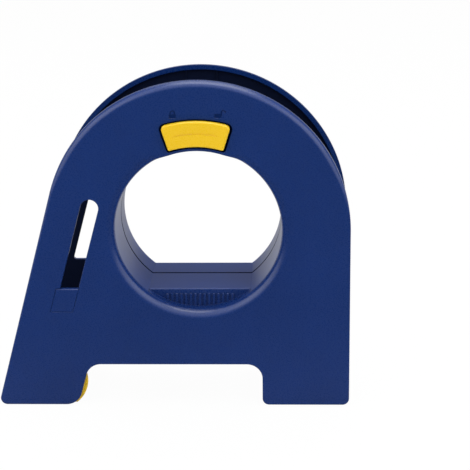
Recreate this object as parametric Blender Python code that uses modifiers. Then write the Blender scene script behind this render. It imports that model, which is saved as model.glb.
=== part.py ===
"""Masking tape applicator.

Two dished side plates meet on a hub, which carries the tape's core outside and is the hand
hole inside. The slanted leg holds a guide roller, a press roller, a serrated blade and a
sprung guard. Metres, +Z up, the front seen along +Y. Places across the front are given
from the hub's axis and depths from the front face. The origin lies under the middle of
the body, on the surface that the feet stand on.
"""

import math

import bmesh
import bpy
from mathutils import Matrix, Vector

MM = 0.001

# Fits that every piece shares
GAP = 0.3 * MM
OVERRUN = 1.0 * MM
SINK = 0.5 * MM
MERGE = 0.001 * MM
FLAT_ANGLE = math.radians(0.5)
SMOOTH_ANGLE = math.radians(35)
WIDE_STEP = math.radians(5)
SMALL_STEP = math.radians(15)
TURN_STEPS = 72
ROD_STEPS = 20

# Outline of the side plates
PLATE_RADIUS = 64.0 * MM
AXIS_HEIGHT = 79.5 * MM
LEG_ANGLE = math.radians(16.0)
EDGE_LEAN = math.radians(0.4)
LEG_WIDTH = 33.9 * MM
NOTCH_HEIGHT = 19.2 * MM
FOOT_INNER = 26.8 * MM
FOOT_CORNER = 2.9 * MM
TOE_RADIUS = 7.1 * MM
NOTCH_FILLET = 6.8 * MM

# Shells
BODY_DEPTH = 40.9 * MM
PARTING = 26.4 * MM
WALL = 2.0 * MM
RIM_DEPTH = 4.0 * MM
EDGE_FILLET = 2.6 * MM
FILLET_STEPS = 3
LEG_WALL_HEIGHT = 41.5 * MM
FOOT_WALL_HEIGHT = 23.5 * MM
GUARD_WAY_HEIGHT = 18.0 * MM
TOE_CLEARANCE = 1.1 * MM

# Hub and hand hole
BORE_RADIUS = 35.2 * MM
HUB_WALL = 2.5 * MM
FLARE = 3.0 * MM
REAR_FLARE = 1.2 * MM
FLARE_STEPS = 4
SEAT_ANGLE = math.radians(22)
FLOOR_DROP = 27.4 * MM
FLOOR_SETBACK = 6.5 * MM
FLOOR_WALL = 2.0 * MM
RIB_COUNT = 15
RIB_PITCH = 2.0 * MM
RIB_WIDTH = 1.0 * MM
RIB_PROUD = 0.7 * MM
RIB_MARGIN = 2.2 * MM

# Lock: a cap outside the front plate and a latch in the hub's wall
CAP_STANDOFF = 2.0 * MM
CAP_WIDTH = 11.2 * MM
CAP_INNER = BORE_RADIUS + CAP_STANDOFF
CAP_OUTER = CAP_INNER + CAP_WIDTH
CAP_ANGLE = math.radians(17.6)
CAP_PROUD = 2.1 * MM
CAP_TOP_CORNER = 2.0 * MM
CAP_LOW_CORNER = 0.7 * MM
CAP_FILLET = 0.7 * MM
CAP_FILLET_STEPS = 2
LOCK_SWING = math.radians(6)
LOCK_MARGIN = math.radians(0.6)
SKIN = 0.9 * MM
STEM_STANDOFF = 2.8 * MM
STEM_WIDTH = 5.0 * MM
STEM_INNER = CAP_INNER + STEM_STANDOFF
STEM_OUTER = STEM_INNER + STEM_WIDTH
STEM_ANGLE = math.radians(4.4)
STEM_HEIGHT = 1.2 * MM
BRIDGE_THICKNESS = 1.0 * MM
TONGUE_ANGLE = math.radians(5)
TONGUE_TIP = 33.5 * MM
LUG_LENGTH = 2.5 * MM
LUG_ANGLE = math.radians(8.5)
STEP_OFF = 0.1 * MM

# Sight slot and brake tab in the leg, placed by a share of the way from hub to edge
SLOT_SHARE = 0.331
SLOT_WIDTH = 7.6 * MM
SLOT_TOP = 10.6 * MM
SLOT_FOOT_HEIGHT = 54.2 * MM
SLOT_CORNER = 1.0 * MM
TAB_SHARE = 0.3574
TAB_WIDTH = 9.0 * MM
TAB_LENGTH = 10.2 * MM
TAB_SLIT = 0.4 * MM
TAB_PIVOT_RISE = 1.4 * MM
TAB_ROOT_HEIGHT = 2.8 * MM
TRUNNION_RADIUS = 1.1 * MM
EAR_WIDTH = 1.6 * MM
EAR_MARGIN = 1.2 * MM
LEAF_WIDTH = 4.0 * MM
LEAF_THICKNESS = 0.4 * MM
LEAF_SEAT = 3.0 * MM
LEAF_FOOT = 5.0 * MM
LEAF_DROP = 5.5 * MM
LEAF_RAMP = 2.4 * MM
LEAF_TIP = 4.4 * MM
LEAF_PEG_RADIUS = 1.0 * MM

# Press roller: it and the rest of the head stand in from the leg's corner on the ground
PRESS_INSET = 25.8 * MM
PRESS_RADIUS = 9.3 * MM
PRESS_LIFT = 0.05 * MM
CORE_RADIUS = 6.8 * MM
PRESS_AXLE_RADIUS = 2.0 * MM
PRESS_BOSS_RADIUS = 3.2 * MM
WASHER_RADIUS = 4.4 * MM
WASHER_THICKNESS = 0.5 * MM
CHAMFER = 0.5 * MM

# Guide roller in the leg
GUIDE_INSET = 14.9 * MM
GUIDE_HEIGHT = 26.5 * MM
GUIDE_RADIUS = 4.0 * MM
GUIDE_AXLE_RADIUS = 1.5 * MM
GUIDE_BOSS_RADIUS = 2.8 * MM
BOSS_REACH = 1.9 * MM
AXLE_SEAT = 1.2 * MM

# Blade guard, its parts placed from its pivot
GUARD_INSET = 25.4 * MM
GUARD_HEIGHT = 23.0 * MM
GUARD_PIN_RADIUS = 1.25 * MM
GUARD_BOSS_RADIUS = 2.6 * MM
GUARD_EYE = 4.4 * MM
CHEEK = 1.5 * MM
LOBE_ACROSS = 2.3 * MM
LOBE_DROP = 11.2 * MM
LOBE_RADIUS = 11.6 * MM
LOBE_ANGLES = (math.radians(50), math.radians(-104))
EYE_ANGLES = (math.radians(190), math.radians(20))
GUARD_SWING = math.radians(15)
BRIDGE_ACROSS = 5.4 * MM
BRIDGE_DROP = 1.7 * MM
BRIDGE_WIDTH = 4.0 * MM
BRIDGE_THICK = 2.0 * MM
STOP_RADIUS = 0.9 * MM
STOP_TIP = 4.0 * MM

# Guard spring
SPRING_RADIUS = 2.1 * MM
SPRING_WIRE = 0.35 * MM
SPRING_TURNS = 4.5
SPRING_PITCH = 1.2 * MM
SPRING_POINTS = 12
SPRING_PEG_ACROSS = 5.6 * MM
SPRING_PEG_DROP = 0.9 * MM
SPRING_PEG_RADIUS = 0.9 * MM
SPRING_PEG_TIP = 6.5 * MM

# Blade and its holder
BLADE_INSET = 36.6 * MM
BLADE_THICKNESS = 0.6 * MM
BLADE_TOP = 25.1 * MM
BLADE_ROOT = 12.5 * MM
TOOTH_HEIGHT = 1.6 * MM
TOOTH_PITCH = 2.0 * MM
BLADE_MARGIN = 0.4 * MM
HOLDER_TOP = 24.5 * MM
HOLDER_THICK = 3.0 * MM
HOLDER_WIDTH = 6.4 * MM
SCREW_RADIUS = 0.8 * MM
SCREW_LENGTH = 4.5 * MM
SCREW_HEAD_RADIUS = 1.5 * MM
SCREW_HEAD_HEIGHT = 1.0 * MM
SCREW_INSET = 6.0 * MM
PEG_RADIUS = 0.7 * MM
PEG_REACH = 3.0 * MM
PEG_SPACING = 2.8 * MM

# Posts that line the two halves up: insets from the plate's edge or the leg's corner, heights
POST_RADIUS = 3.3 * MM
POST_PIN_RADIUS = 1.5 * MM
POST_PIN_REACH = 10.0 * MM
EDGE_POSTS = (
    (18.0 * MM, 11.0 * MM),
    (7.0 * MM, 41.5 * MM),
)
TOE_POST = (7.1 * MM, 8.0 * MM)

FRONT = "front"
REAR = "rear"

PARTS = "masking_tape_applicator"
BLUE = (0.012, 0.036, 0.150)
YELLOW = (0.90, 0.56, 0.02)
BLACK = (0.02, 0.02, 0.022)
WHITE = (0.78, 0.78, 0.76)
RUBBER = (0.05, 0.05, 0.05)
STEEL = (0.60, 0.60, 0.62)


# Places


def leg_x(offset, z):
    """Where a line along the leg, at this distance from the hub's axis, crosses a height."""
    return (z * math.sin(LEG_ANGLE) - offset) / math.cos(LEG_ANGLE)


def left_end():
    """The left foot's outermost point, on its corner."""
    low = FOOT_CORNER - AXIS_HEIGHT
    return leg_x(PLATE_RADIUS - FOOT_CORNER, low) - FOOT_CORNER


def edge_x(z, inset=0.0):
    """The right edge, which leans out a little towards the foot."""
    return (PLATE_RADIUS - inset + z * math.sin(-EDGE_LEAN)) / math.cos(EDGE_LEAN)


def right_end():
    """The right foot's outermost point, on its corner."""
    low = FOOT_CORNER - AXIS_HEIGHT
    return edge_x(low, FOOT_CORNER) + FOOT_CORNER


def toe_x(inset):
    """A place across the head, in from the leg's outer corner on the ground."""
    return leg_x(PLATE_RADIUS, -AXIS_HEIGHT) + inset


def up(height):
    """A height above the ground, as one from the hub's axis."""
    return height - AXIS_HEIGHT


def band(share):
    """A distance from the hub's axis, a share of the way from the hub to the edge."""
    hub = BORE_RADIUS + HUB_WALL
    return hub + share * (PLATE_RADIUS - hub)


HUB_X = -(left_end() + right_end()) / 2
FRONT_Y = (CAP_PROUD - BODY_DEPTH) / 2


def place(x, depth, z):
    """A point given from the hub's axis and the front face, in the world."""
    return Vector((HUB_X + x, FRONT_Y + depth, AXIS_HEIGHT + z))


def from_face(side, depth):
    """A depth measured from the outer face of one side plate, as a depth from the front."""
    return depth if side == FRONT else BODY_DEPTH - depth


def half_depth(side):
    """How deep each half is, from its outer face to where the halves meet."""
    return PARTING - GAP / 2 if side == FRONT else BODY_DEPTH - PARTING - GAP / 2


# Outlines, as lists of (x, z)


def arc(x, z, radius, start, end, step=SMALL_STEP):
    """Points along an arc, both ends included."""
    count = max(2, math.ceil(abs(end - start) / step))
    angles = [start + (end - start) * i / count for i in range(count + 1)]
    return [(x + radius * math.cos(a), z + radius * math.sin(a)) for a in angles]


def fillet(before, corner, after, radius):
    """The corner between two straight sides, rounded."""
    corner = Vector(corner)
    first = (Vector(before) - corner).normalized()
    second = (Vector(after) - corner).normalized()
    half = first.angle(second) / 2
    centre = corner + (first + second).normalized() * radius / math.sin(half)
    start = corner + first * radius / math.tan(half) - centre
    end = corner + second * radius / math.tan(half) - centre
    low = math.atan2(start.y, start.x)
    turn = math.atan2(end.y, end.x) - low
    turn = (turn + math.pi) % (2 * math.pi) - math.pi
    return arc(centre.x, centre.y, radius, low, low + turn)


def rounded(corners):
    """A closed outline from (x, z, radius) corners."""
    points = []
    for i, (x, z, radius) in enumerate(corners):
        before = corners[i - 1][:2]
        after = corners[(i + 1) % len(corners)][:2]
        points += fillet(before, (x, z), after, radius) if radius else [(x, z)]
    return points


def body_outline(inset=0.0):
    """The side plate, drawn in by an inset."""
    bottom = inset - AXIS_HEIGHT
    notch = bottom + NOTCH_HEIGHT
    outer = PLATE_RADIUS - inset
    toe = PLATE_RADIUS - LEG_WIDTH + inset
    inner = FOOT_INNER + inset
    corner = FOOT_CORNER - inset
    dome = arc(0, 0, outer, -EDGE_LEAN, math.pi - LEG_ANGLE, WIDE_STEP)
    corners = [(x, z, 0) for x, z in dome]
    corners.append((leg_x(outer, bottom), bottom, corner))
    corners.append((leg_x(toe, bottom), bottom, TOE_RADIUS - inset))
    corners.append((leg_x(toe, notch), notch, NOTCH_FILLET + inset))
    corners.append((inner, notch, NOTCH_FILLET + inset))
    corners.append((inner, bottom, corner))
    corners.append((edge_x(bottom, inset), bottom, corner))
    return rounded(corners)


def sector(inner, outer, start, end):
    """A piece of a ring round the hub, its angles from the top, positive to the left."""
    top = math.pi / 2
    points = arc(0, 0, outer, top + start, top + end, WIDE_STEP / 2)
    return points + arc(0, 0, inner, top + end, top + start, WIDE_STEP / 2)


def rectangle(left, right, low, high):
    return [(left, low), (right, low), (right, high), (left, high)]


def leg_band(offset, width, low, high):
    """A stretch along the leg with level ends."""
    near = offset - width / 2
    far = offset + width / 2
    ends = [(far, low), (near, low), (near, high), (far, high)]
    return [(leg_x(side, z), z) for side, z in ends]


# Solids, made in the hub's coordinates


def collection_named(name):
    found = bpy.data.collections.get(name)
    if not found:
        found = bpy.data.collections.new(name)
        bpy.context.scene.collection.children.link(found)
    return found


def add(name, mesh):
    """An object at the hub's axis, its mesh tidied and facing out."""
    work = bmesh.new()
    work.from_mesh(mesh)
    bmesh.ops.remove_doubles(work, verts=work.verts, dist=MERGE)
    bmesh.ops.recalc_face_normals(work, faces=work.faces)
    work.to_mesh(mesh)
    work.free()
    obj = bpy.data.objects.new(name, mesh)
    obj.location = place(0, 0, 0)
    collection_named(PARTS).objects.link(obj)
    return obj


def baked(obj):
    """The object's mesh with its modifiers applied."""
    bpy.context.view_layer.update()
    graph = bpy.context.evaluated_depsgraph_get()
    return bpy.data.meshes.new_from_object(obj.evaluated_get(graph))


def bake(obj):
    mesh = baked(obj)
    obj.modifiers.clear()
    obj.data = mesh


def extruded(name, outline, low, high, matrix):
    """A flat outline, filled and given a thickness, then turned to stand."""
    curve = bpy.data.curves.new(name, "CURVE")
    curve.dimensions = "2D"
    curve.fill_mode = "BOTH"
    curve.extrude = abs(high - low) / 2
    spline = curve.splines.new("POLY")
    spline.points.add(len(outline) - 1)
    for point, (across, up) in zip(spline.points, outline):
        point.co = (across, up, 0, 1)
    spline.use_cyclic_u = True
    draft = bpy.data.objects.new(name, curve)
    collection_named(PARTS).objects.link(draft)
    mesh = baked(draft)
    bpy.data.objects.remove(draft)
    mesh.transform(matrix @ Matrix.Translation((0, 0, (low + high) / 2)))
    work = bmesh.new()
    work.from_mesh(mesh)
    bmesh.ops.remove_doubles(work, verts=work.verts, dist=MERGE)
    bmesh.ops.dissolve_limit(work, angle_limit=FLAT_ANGLE, verts=work.verts, edges=work.edges)
    work.to_mesh(mesh)
    work.free()
    return add(name, mesh)


def prism(name, outline, start, end):
    """An outline in x and z, between two depths."""
    stand = Matrix(((1, 0, 0, 0), (0, 0, 1, 0), (0, 1, 0, 0), (0, 0, 0, 1)))
    return extruded(name, outline, start, end, stand)


def cross_prism(name, outline, left, right):
    """An outline in depth and z, between two places across the front."""
    stand = Matrix(((0, 0, 1, 0), (1, 0, 0, 0), (0, 1, 0, 0), (0, 0, 0, 1)))
    return extruded(name, outline, left, right, stand)


def rod(name, start, end, radius, steps=ROD_STEPS):
    """A round bar between two points, each (x, depth, z)."""
    axis = Vector(end) - Vector(start)
    turn = axis.to_track_quat("Z", "Y").to_matrix().to_4x4()
    middle = Matrix.Translation((Vector(start) + Vector(end)) / 2)
    work = bmesh.new()
    bmesh.ops.create_cone(
        work,
        cap_ends=True,
        segments=steps,
        radius1=radius,
        radius2=radius,
        depth=axis.length,
        matrix=middle @ turn,
    )
    mesh = bpy.data.meshes.new(name)
    work.to_mesh(mesh)
    work.free()
    return add(name, mesh)


def pin(name, x, z, radius, start, end, steps=ROD_STEPS):
    """A round bar along the depth."""
    return rod(name, (x, start, z), (x, end, z), radius, steps)


def turned(name, profile, x, z, steps):
    """A profile of (radius, depth) points, front outer edge first, turned about the depth."""
    mesh = bpy.data.meshes.new(name)
    points = [(radius, 0, -depth) for radius, depth in profile]
    edges = [(i, i + 1) for i in range(len(points) - 1)]
    if profile[0][0]:
        edges.append((len(points) - 1, 0))
    mesh.from_pydata(points, edges, [])
    draft = bpy.data.objects.new(name, mesh)
    collection_named(PARTS).objects.link(draft)
    screw = draft.modifiers.new("turn", "SCREW")
    screw.axis = "Z"
    screw.steps = steps
    screw.render_steps = steps
    screw.use_merge_vertices = True
    screw.merge_threshold = MERGE
    solid = baked(draft)
    bpy.data.objects.remove(draft)
    stand = Matrix(((1, 0, 0, 0), (0, 0, -1, 0), (0, 1, 0, 0), (0, 0, 0, 1)))
    solid.transform(Matrix.Translation((x, 0, z)) @ stand)
    return add(name, solid)


def combine(target, other, operation):
    boolean = target.modifiers.new(other.name, "BOOLEAN")
    boolean.operation = operation
    boolean.solver = "EXACT"
    boolean.object = other
    bake(target)
    bpy.data.objects.remove(other)


def cut(target, cutter):
    combine(target, cutter, "DIFFERENCE")


def join(target, other):
    combine(target, other, "UNION")


def round_face(obj, depth, width, steps):
    """Rounds the edges of the face that lies at a depth."""
    work = bmesh.new()
    work.from_mesh(obj.data)
    weights = work.edges.layers.float.new("bevel_weight_edge")
    for edge in work.edges:
        if all(abs(vert.co.y - depth) < MERGE for vert in edge.verts):
            edge[weights] = 1.0
    work.to_mesh(obj.data)
    work.free()
    bevel = obj.modifiers.new("round", "BEVEL")
    bevel.limit_method = "WEIGHT"
    bevel.width = width
    bevel.segments = steps
    bevel.use_clamp_overlap = False
    bake(obj)


def finish(obj, material, pivot=None):
    """Gives a piece its material, soft shading and, if it moves, its own origin."""
    obj.data.materials.clear()
    obj.data.materials.append(material)
    if pivot:
        obj.data.transform(Matrix.Translation(-Vector(pivot)))
        obj.location = place(*pivot)
    obj.data.shade_smooth()
    obj.data.set_sharp_from_angle(angle=SMOOTH_ANGLE)
    return obj


def material_of(name, colour, roughness, metallic=0.0):
    material = bpy.data.materials.new(name)
    material.use_nodes = True
    shader = material.node_tree.nodes["Principled BSDF"]
    shader.inputs["Base Color"].default_value = (*colour, 1)
    shader.inputs["Roughness"].default_value = roughness
    shader.inputs["Metallic"].default_value = metallic
    return material


# Side shells


def dish(side, name):
    """A dished plate with a rim, and full depth walls round the feet."""
    face = from_face(side, 0)
    inside = from_face(side, WALL)
    rim = from_face(side, RIM_DEPTH)
    meeting = from_face(side, half_depth(side))
    beyond = from_face(side, half_depth(side) + OVERRUN)
    shell = prism(name, body_outline(), face, meeting)
    round_face(shell, face, EDGE_FILLET, FILLET_STEPS)
    cut(shell, prism("pocket", body_outline(WALL), inside, beyond))
    far = 2 * PLATE_RADIUS
    toe_opening = press_axis()[0] - PRESS_RADIUS - TOE_CLEARANCE
    opening = [
        (toe_opening + WALL, up(LEG_WALL_HEIGHT)),
        (-far, up(LEG_WALL_HEIGHT)),
        (-far, far),
        (far, far),
        (far, up(FOOT_WALL_HEIGHT)),
        (FOOT_INNER - WALL, up(FOOT_WALL_HEIGHT)),
        (FOOT_INNER - WALL, -far),
        (toe_opening, -far),
    ]
    cut(shell, prism("open_sides", opening, rim, beyond))
    low = -AXIS_HEIGHT - OVERRUN
    toe = rectangle(toe_opening, LEG_WIDTH - PLATE_RADIUS, low, up(GUARD_WAY_HEIGHT))
    cut(shell, prism("guard_way", toe, inside, beyond))
    return shell


def d_outline():
    """The hand hole behind its ribbed face: a circle with a level floor."""
    low = math.asin(FLOOR_DROP / BORE_RADIUS)
    return arc(0, 0, BORE_RADIUS, -low, math.pi + low, WIDE_STEP)


def segment_outline(drop, raised):
    """The space between the floor, or a line below it, and the bore."""
    low = math.asin(drop / BORE_RADIUS)
    points = arc(0, 0, BORE_RADIUS, math.pi + low, 2 * math.pi - low, WIDE_STEP)
    return points + [(points[-1][0], raised - drop), (points[0][0], raised - drop)]


def flare_cutter(side, size):
    """Rounds the mouth of the bore."""
    turns = [math.pi / 2 * i / FLARE_STEPS for i in range(FLARE_STEPS + 1)]
    profile = [(BORE_RADIUS + size * (1 - math.sin(a)), size * (1 - math.cos(a))) for a in turns]
    profile = [(0, -OVERRUN), (BORE_RADIUS + size, -OVERRUN)] + profile + [(0, size)]
    profile = [(radius, from_face(side, depth)) for radius, depth in profile]
    if side == REAR:
        profile.reverse()
    return turned("flare", profile, 0, 0, TURN_STEPS)


def add_hub(shell, side):
    """The hub's half, bored to the hand hole and hollow under its floor."""
    outer = BORE_RADIUS + HUB_WALL
    meeting = from_face(side, half_depth(side))
    beyond = from_face(side, half_depth(side) + OVERRUN)
    before = from_face(side, -OVERRUN)
    join(shell, pin("hub", 0, 0, outer, from_face(side, WALL - SINK), meeting, TURN_STEPS))
    cut(shell, prism("hand_hole", d_outline(), before, beyond))
    setback = FLOOR_SETBACK if side == FRONT else WALL
    mouth = prism("mouth", segment_outline(FLOOR_DROP, OVERRUN), before, from_face(side, setback))
    if side == FRONT:
        cut(shell, mouth)
    else:
        bpy.data.objects.remove(mouth)
    hollow_from = from_face(side, setback + FLOOR_WALL)
    hollow = segment_outline(FLOOR_DROP + FLOOR_WALL, 0)
    cut(shell, prism("under_floor", hollow, hollow_from, beyond))


def add_flares(shell, side):
    """The rounded mouth, left square under the lock's cap."""
    if side == REAR:
        cut(shell, flare_cutter(REAR, REAR_FLARE))
        return
    flare = flare_cutter(FRONT, FLARE)
    seat = sector(OVERRUN, BORE_RADIUS + FLARE + OVERRUN, -SEAT_ANGLE, SEAT_ANGLE)
    cut(flare, prism("seat", seat, -2 * OVERRUN, FLARE + OVERRUN))
    cut(shell, flare)


def add_grip_ribs(shell):
    """Upright ribs on the face below the floor."""
    top = -FLOOR_DROP - RIB_MARGIN
    comb = None
    for i in range(RIB_COUNT):
        x = (i - (RIB_COUNT - 1) / 2) * RIB_PITCH
        far = abs(x) + RIB_WIDTH / 2
        low = -math.sqrt(BORE_RADIUS**2 - far**2) - SINK
        rib = rectangle(x - RIB_WIDTH / 2, x + RIB_WIDTH / 2, low, top)
        piece = prism("rib", rib, FLOOR_SETBACK - RIB_PROUD, FLOOR_SETBACK + SINK)
        if comb:
            join(comb, piece)
        else:
            comb = piece
    join(shell, comb)


def add_lock_ways(shell, side):
    """Room for the latch to swing in the hub's wall, and on the front for its stem."""
    inner = BORE_RADIUS - OVERRUN
    outer = BORE_RADIUS + HUB_WALL + OVERRUN
    swing = TONGUE_ANGLE + LOCK_SWING + LOCK_MARGIN
    if side == FRONT:
        way = sector(inner, outer, -swing, swing)
        cut(shell, prism("way", way, SKIN + STEP_OFF, PARTING + OVERRUN))
        wide = swing + LOCK_MARGIN
        recess = sector(BORE_RADIUS + HUB_WALL / 2, STEM_OUTER + 3 * GAP, -wide, wide)
        cut(shell, prism("recess", recess, SKIN, WALL + OVERRUN))
        reach = STEM_ANGLE + LOCK_SWING + LOCK_MARGIN
        window = sector(STEM_INNER - GAP, STEM_OUTER + GAP, -reach, reach)
        cut(shell, prism("window", window, -OVERRUN, WALL))
        return
    mouth = sector(inner, outer, -swing, max(swing, LUG_ANGLE + LOCK_MARGIN))
    lug_face = TONGUE_TIP - LUG_LENGTH - GAP
    cut(shell, prism("mouth", mouth, PARTING - OVERRUN, lug_face + OVERRUN))
    wide = LUG_ANGLE + LOCK_SWING + LOCK_MARGIN
    room = sector(inner, outer, -swing - LOCK_MARGIN, wide)
    cut(shell, prism("room", room, lug_face, TONGUE_TIP + 2 * GAP))


def tab_pivot():
    """The middle of the front tab's trunnion: (x, depth, z)."""
    z = up(SLOT_FOOT_HEIGHT) - TAB_LENGTH + TAB_PIVOT_RISE
    return leg_x(band(TAB_SHARE), z), WALL + GAP + TRUNNION_RADIUS, z


def ear_offset():
    """How far from the trunnion's middle the ears start, clear of the slanted tab."""
    slit = (TAB_WIDTH / 2 + TAB_SLIT) / math.cos(LEG_ANGLE)
    return slit + (TRUNNION_RADIUS + EAR_MARGIN) * math.tan(LEG_ANGLE) + STEP_OFF


def add_slot(shell, side):
    """The sight slot: in the rear plate closed at its foot, in the front over the tab."""
    before = from_face(side, -OVERRUN)
    after = from_face(side, WALL + OVERRUN)
    middle = band(SLOT_SHARE)
    left = middle + SLOT_WIDTH / 2
    right = middle - SLOT_WIDTH / 2
    low = up(SLOT_FOOT_HEIGHT)
    if side == FRONT:
        low -= TAB_SLIT
    x = leg_x(middle, SLOT_TOP)
    slot = arc(x, SLOT_TOP, SLOT_WIDTH / 2, -LEG_ANGLE, math.pi - LEG_ANGLE)
    first = slot[0]
    last = slot[-1]
    corners = [(leg_x(left, low), low), (leg_x(right, low), low)]
    if side == FRONT:
        slot += corners
    else:
        slot += fillet(last, corners[0], corners[1], SLOT_CORNER)
        slot += fillet(corners[0], corners[1], first, SLOT_CORNER)
    cut(shell, prism("slot", slot, before, after))


def add_tab_seat(shell):
    """The tab's window, two ears for its trunnion and a pad with a peg for its spring."""
    high = up(SLOT_FOOT_HEIGHT)
    bottom = high - TAB_LENGTH - TAB_SLIT
    window = leg_band(band(TAB_SHARE), TAB_WIDTH + 2 * TAB_SLIT, bottom, high + GAP)
    cut(shell, prism("tab_window", window, -OVERRUN, WALL + OVERRUN))
    x, depth, z = tab_pivot()
    half = ear_offset()
    high = TRUNNION_RADIUS + EAR_MARGIN
    for way in (-1, 1):
        near = x + way * half
        far = near + way * EAR_WIDTH
        ear = rectangle(min(near, far), max(near, far), z - high, z + high)
        join(shell, prism("ear", ear, WALL - SINK, depth + high))
    reach = half + EAR_WIDTH + OVERRUN
    bore = rod("bore", (x - reach, depth, z), (x + reach, depth, z), TRUNNION_RADIUS + GAP)
    cut(shell, bore)
    foot_low, foot_high = leaf_foot()
    pad = rectangle(x - LEAF_WIDTH / 2, x + LEAF_WIDTH / 2, foot_low, foot_high)
    join(shell, prism("pad", pad, WALL - SINK, LEAF_SEAT))
    middle = (foot_low + foot_high) / 2
    top = LEAF_SEAT + LEAF_THICKNESS + 3 * GAP
    join(shell, pin("leaf_peg", x, middle, LEAF_PEG_RADIUS, LEAF_SEAT - SINK, top))


def press_axis():
    return toe_x(PRESS_INSET), up(PRESS_LIFT + PRESS_RADIUS)


def guide_axis():
    return toe_x(GUIDE_INSET), up(GUIDE_HEIGHT)


def guard_axis():
    return toe_x(GUARD_INSET), up(GUARD_HEIGHT)


def from_guard(across, drop):
    """A place given from the guard's pivot."""
    x, z = guard_axis()
    return x + across, z - drop


def lobe_middle():
    return from_guard(LOBE_ACROSS, LOBE_DROP)


def bridge_middle():
    return from_guard(BRIDGE_ACROSS, BRIDGE_DROP)


def spring_peg():
    return from_guard(-SPRING_PEG_ACROSS, SPRING_PEG_DROP)


def blade_left():
    return toe_x(BLADE_INSET)


def holder_middle():
    """The height of the middle of the blade's holder."""
    return up(HOLDER_TOP - HOLDER_THICK / 2)


def post_places():
    posts = [(PLATE_RADIUS - inset, up(height)) for inset, height in EDGE_POSTS]
    inset, height = TOE_POST
    return posts + [(toe_x(inset), up(height))]


def add_boss(shell, side, x, z, boss, bore, reach=BOSS_REACH):
    """A round boss on the plate's inner face, with a blind hole for an axle's end."""
    start = from_face(side, WALL - SINK)
    join(shell, pin("boss", x, z, boss, start, from_face(side, WALL + reach)))
    hole = pin("hole", x, z, bore, from_face(side, AXLE_SEAT), from_face(side, WALL + reach + OVERRUN))
    cut(shell, hole)


def stop_place():
    """The peg that the guard's upper edge rests against."""
    eye = arc(*guard_axis(), GUARD_EYE, *EYE_ANGLES)[-1]
    lobe = arc(*lobe_middle(), LOBE_RADIUS, *LOBE_ANGLES)[0]
    along = (Vector(lobe) - Vector(eye)).normalized()
    outward = Vector((-along.y, along.x))
    return (Vector(eye) + Vector(lobe)) / 2 + outward * (STOP_RADIUS + GAP)


def add_head_mounts(shell, side):
    """Bosses and pegs for the rollers, the guard, its spring and the blade's holder."""
    add_boss(shell, side, *press_axis(), PRESS_BOSS_RADIUS, PRESS_AXLE_RADIUS + GAP)
    add_boss(shell, side, *guide_axis(), GUIDE_BOSS_RADIUS, GUIDE_AXLE_RADIUS + GAP)
    add_boss(shell, side, *guard_axis(), GUARD_BOSS_RADIUS, GUARD_PIN_RADIUS + GAP)
    start = from_face(side, WALL - SINK)
    x, z = stop_place()
    join(shell, pin("stop", x, z, STOP_RADIUS, start, from_face(side, STOP_TIP)))
    for x, z in peg_places():
        reach = from_face(side, WALL + GAP + PEG_REACH)
        join(shell, pin("peg", x, z, PEG_RADIUS, start, reach))
    if side == FRONT:
        join(shell, pin("spring_peg", *spring_peg(), SPRING_PEG_RADIUS, start, SPRING_PEG_TIP))


def add_posts(shell, side):
    """Posts that reach to the parting line: sockets in front, pins behind."""
    start = from_face(side, WALL - SINK)
    meeting = from_face(side, half_depth(side))
    for x, z in post_places():
        join(shell, pin("post", x, z, POST_RADIUS, start, meeting))
        if side == FRONT:
            deep = PARTING - POST_PIN_REACH - 2 * GAP
            hole = POST_PIN_RADIUS + GAP
            cut(shell, pin("socket", x, z, hole, deep, PARTING + OVERRUN))
        else:
            tip = PARTING - POST_PIN_REACH
            join(shell, pin("spigot", x, z, POST_PIN_RADIUS, tip, PARTING + OVERRUN))


def build_shell(side, name, material):
    shell = dish(side, name)
    add_hub(shell, side)
    add_flares(shell, side)
    if side == FRONT:
        add_grip_ribs(shell)
    add_lock_ways(shell, side)
    add_slot(shell, side)
    if side == FRONT:
        add_tab_seat(shell)
    add_head_mounts(shell, side)
    add_posts(shell, side)
    return finish(shell, material)


# Lock


def build_lock_button(material):
    """The cap: a piece of a ring with rounded corners, socketed for the latch's stem."""
    outline = sector(CAP_INNER, CAP_OUTER, -CAP_ANGLE, CAP_ANGLE)
    half = len(outline) // 2
    radii = {0: CAP_TOP_CORNER, half - 1: CAP_TOP_CORNER}
    radii.update({half: CAP_LOW_CORNER, len(outline) - 1: CAP_LOW_CORNER})
    corners = []
    for i, (x, z) in enumerate(outline):
        near_corner = any(0 < abs(i - corner) <= 1 for corner in (0, half - 1))
        if not near_corner:
            corners.append((x, z, radii.get(i, 0)))
    button = prism("lock_button", rounded(corners), -CAP_PROUD, -GAP)
    round_face(button, -CAP_PROUD, CAP_FILLET, CAP_FILLET_STEPS)
    play = GAP / STEM_INNER
    socket = sector(STEM_INNER - GAP, STEM_OUTER + GAP, -STEM_ANGLE - play, STEM_ANGLE + play)
    cut(button, prism("socket", socket, -STEM_HEIGHT - GAP, OVERRUN))
    return finish(button, material)


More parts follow.
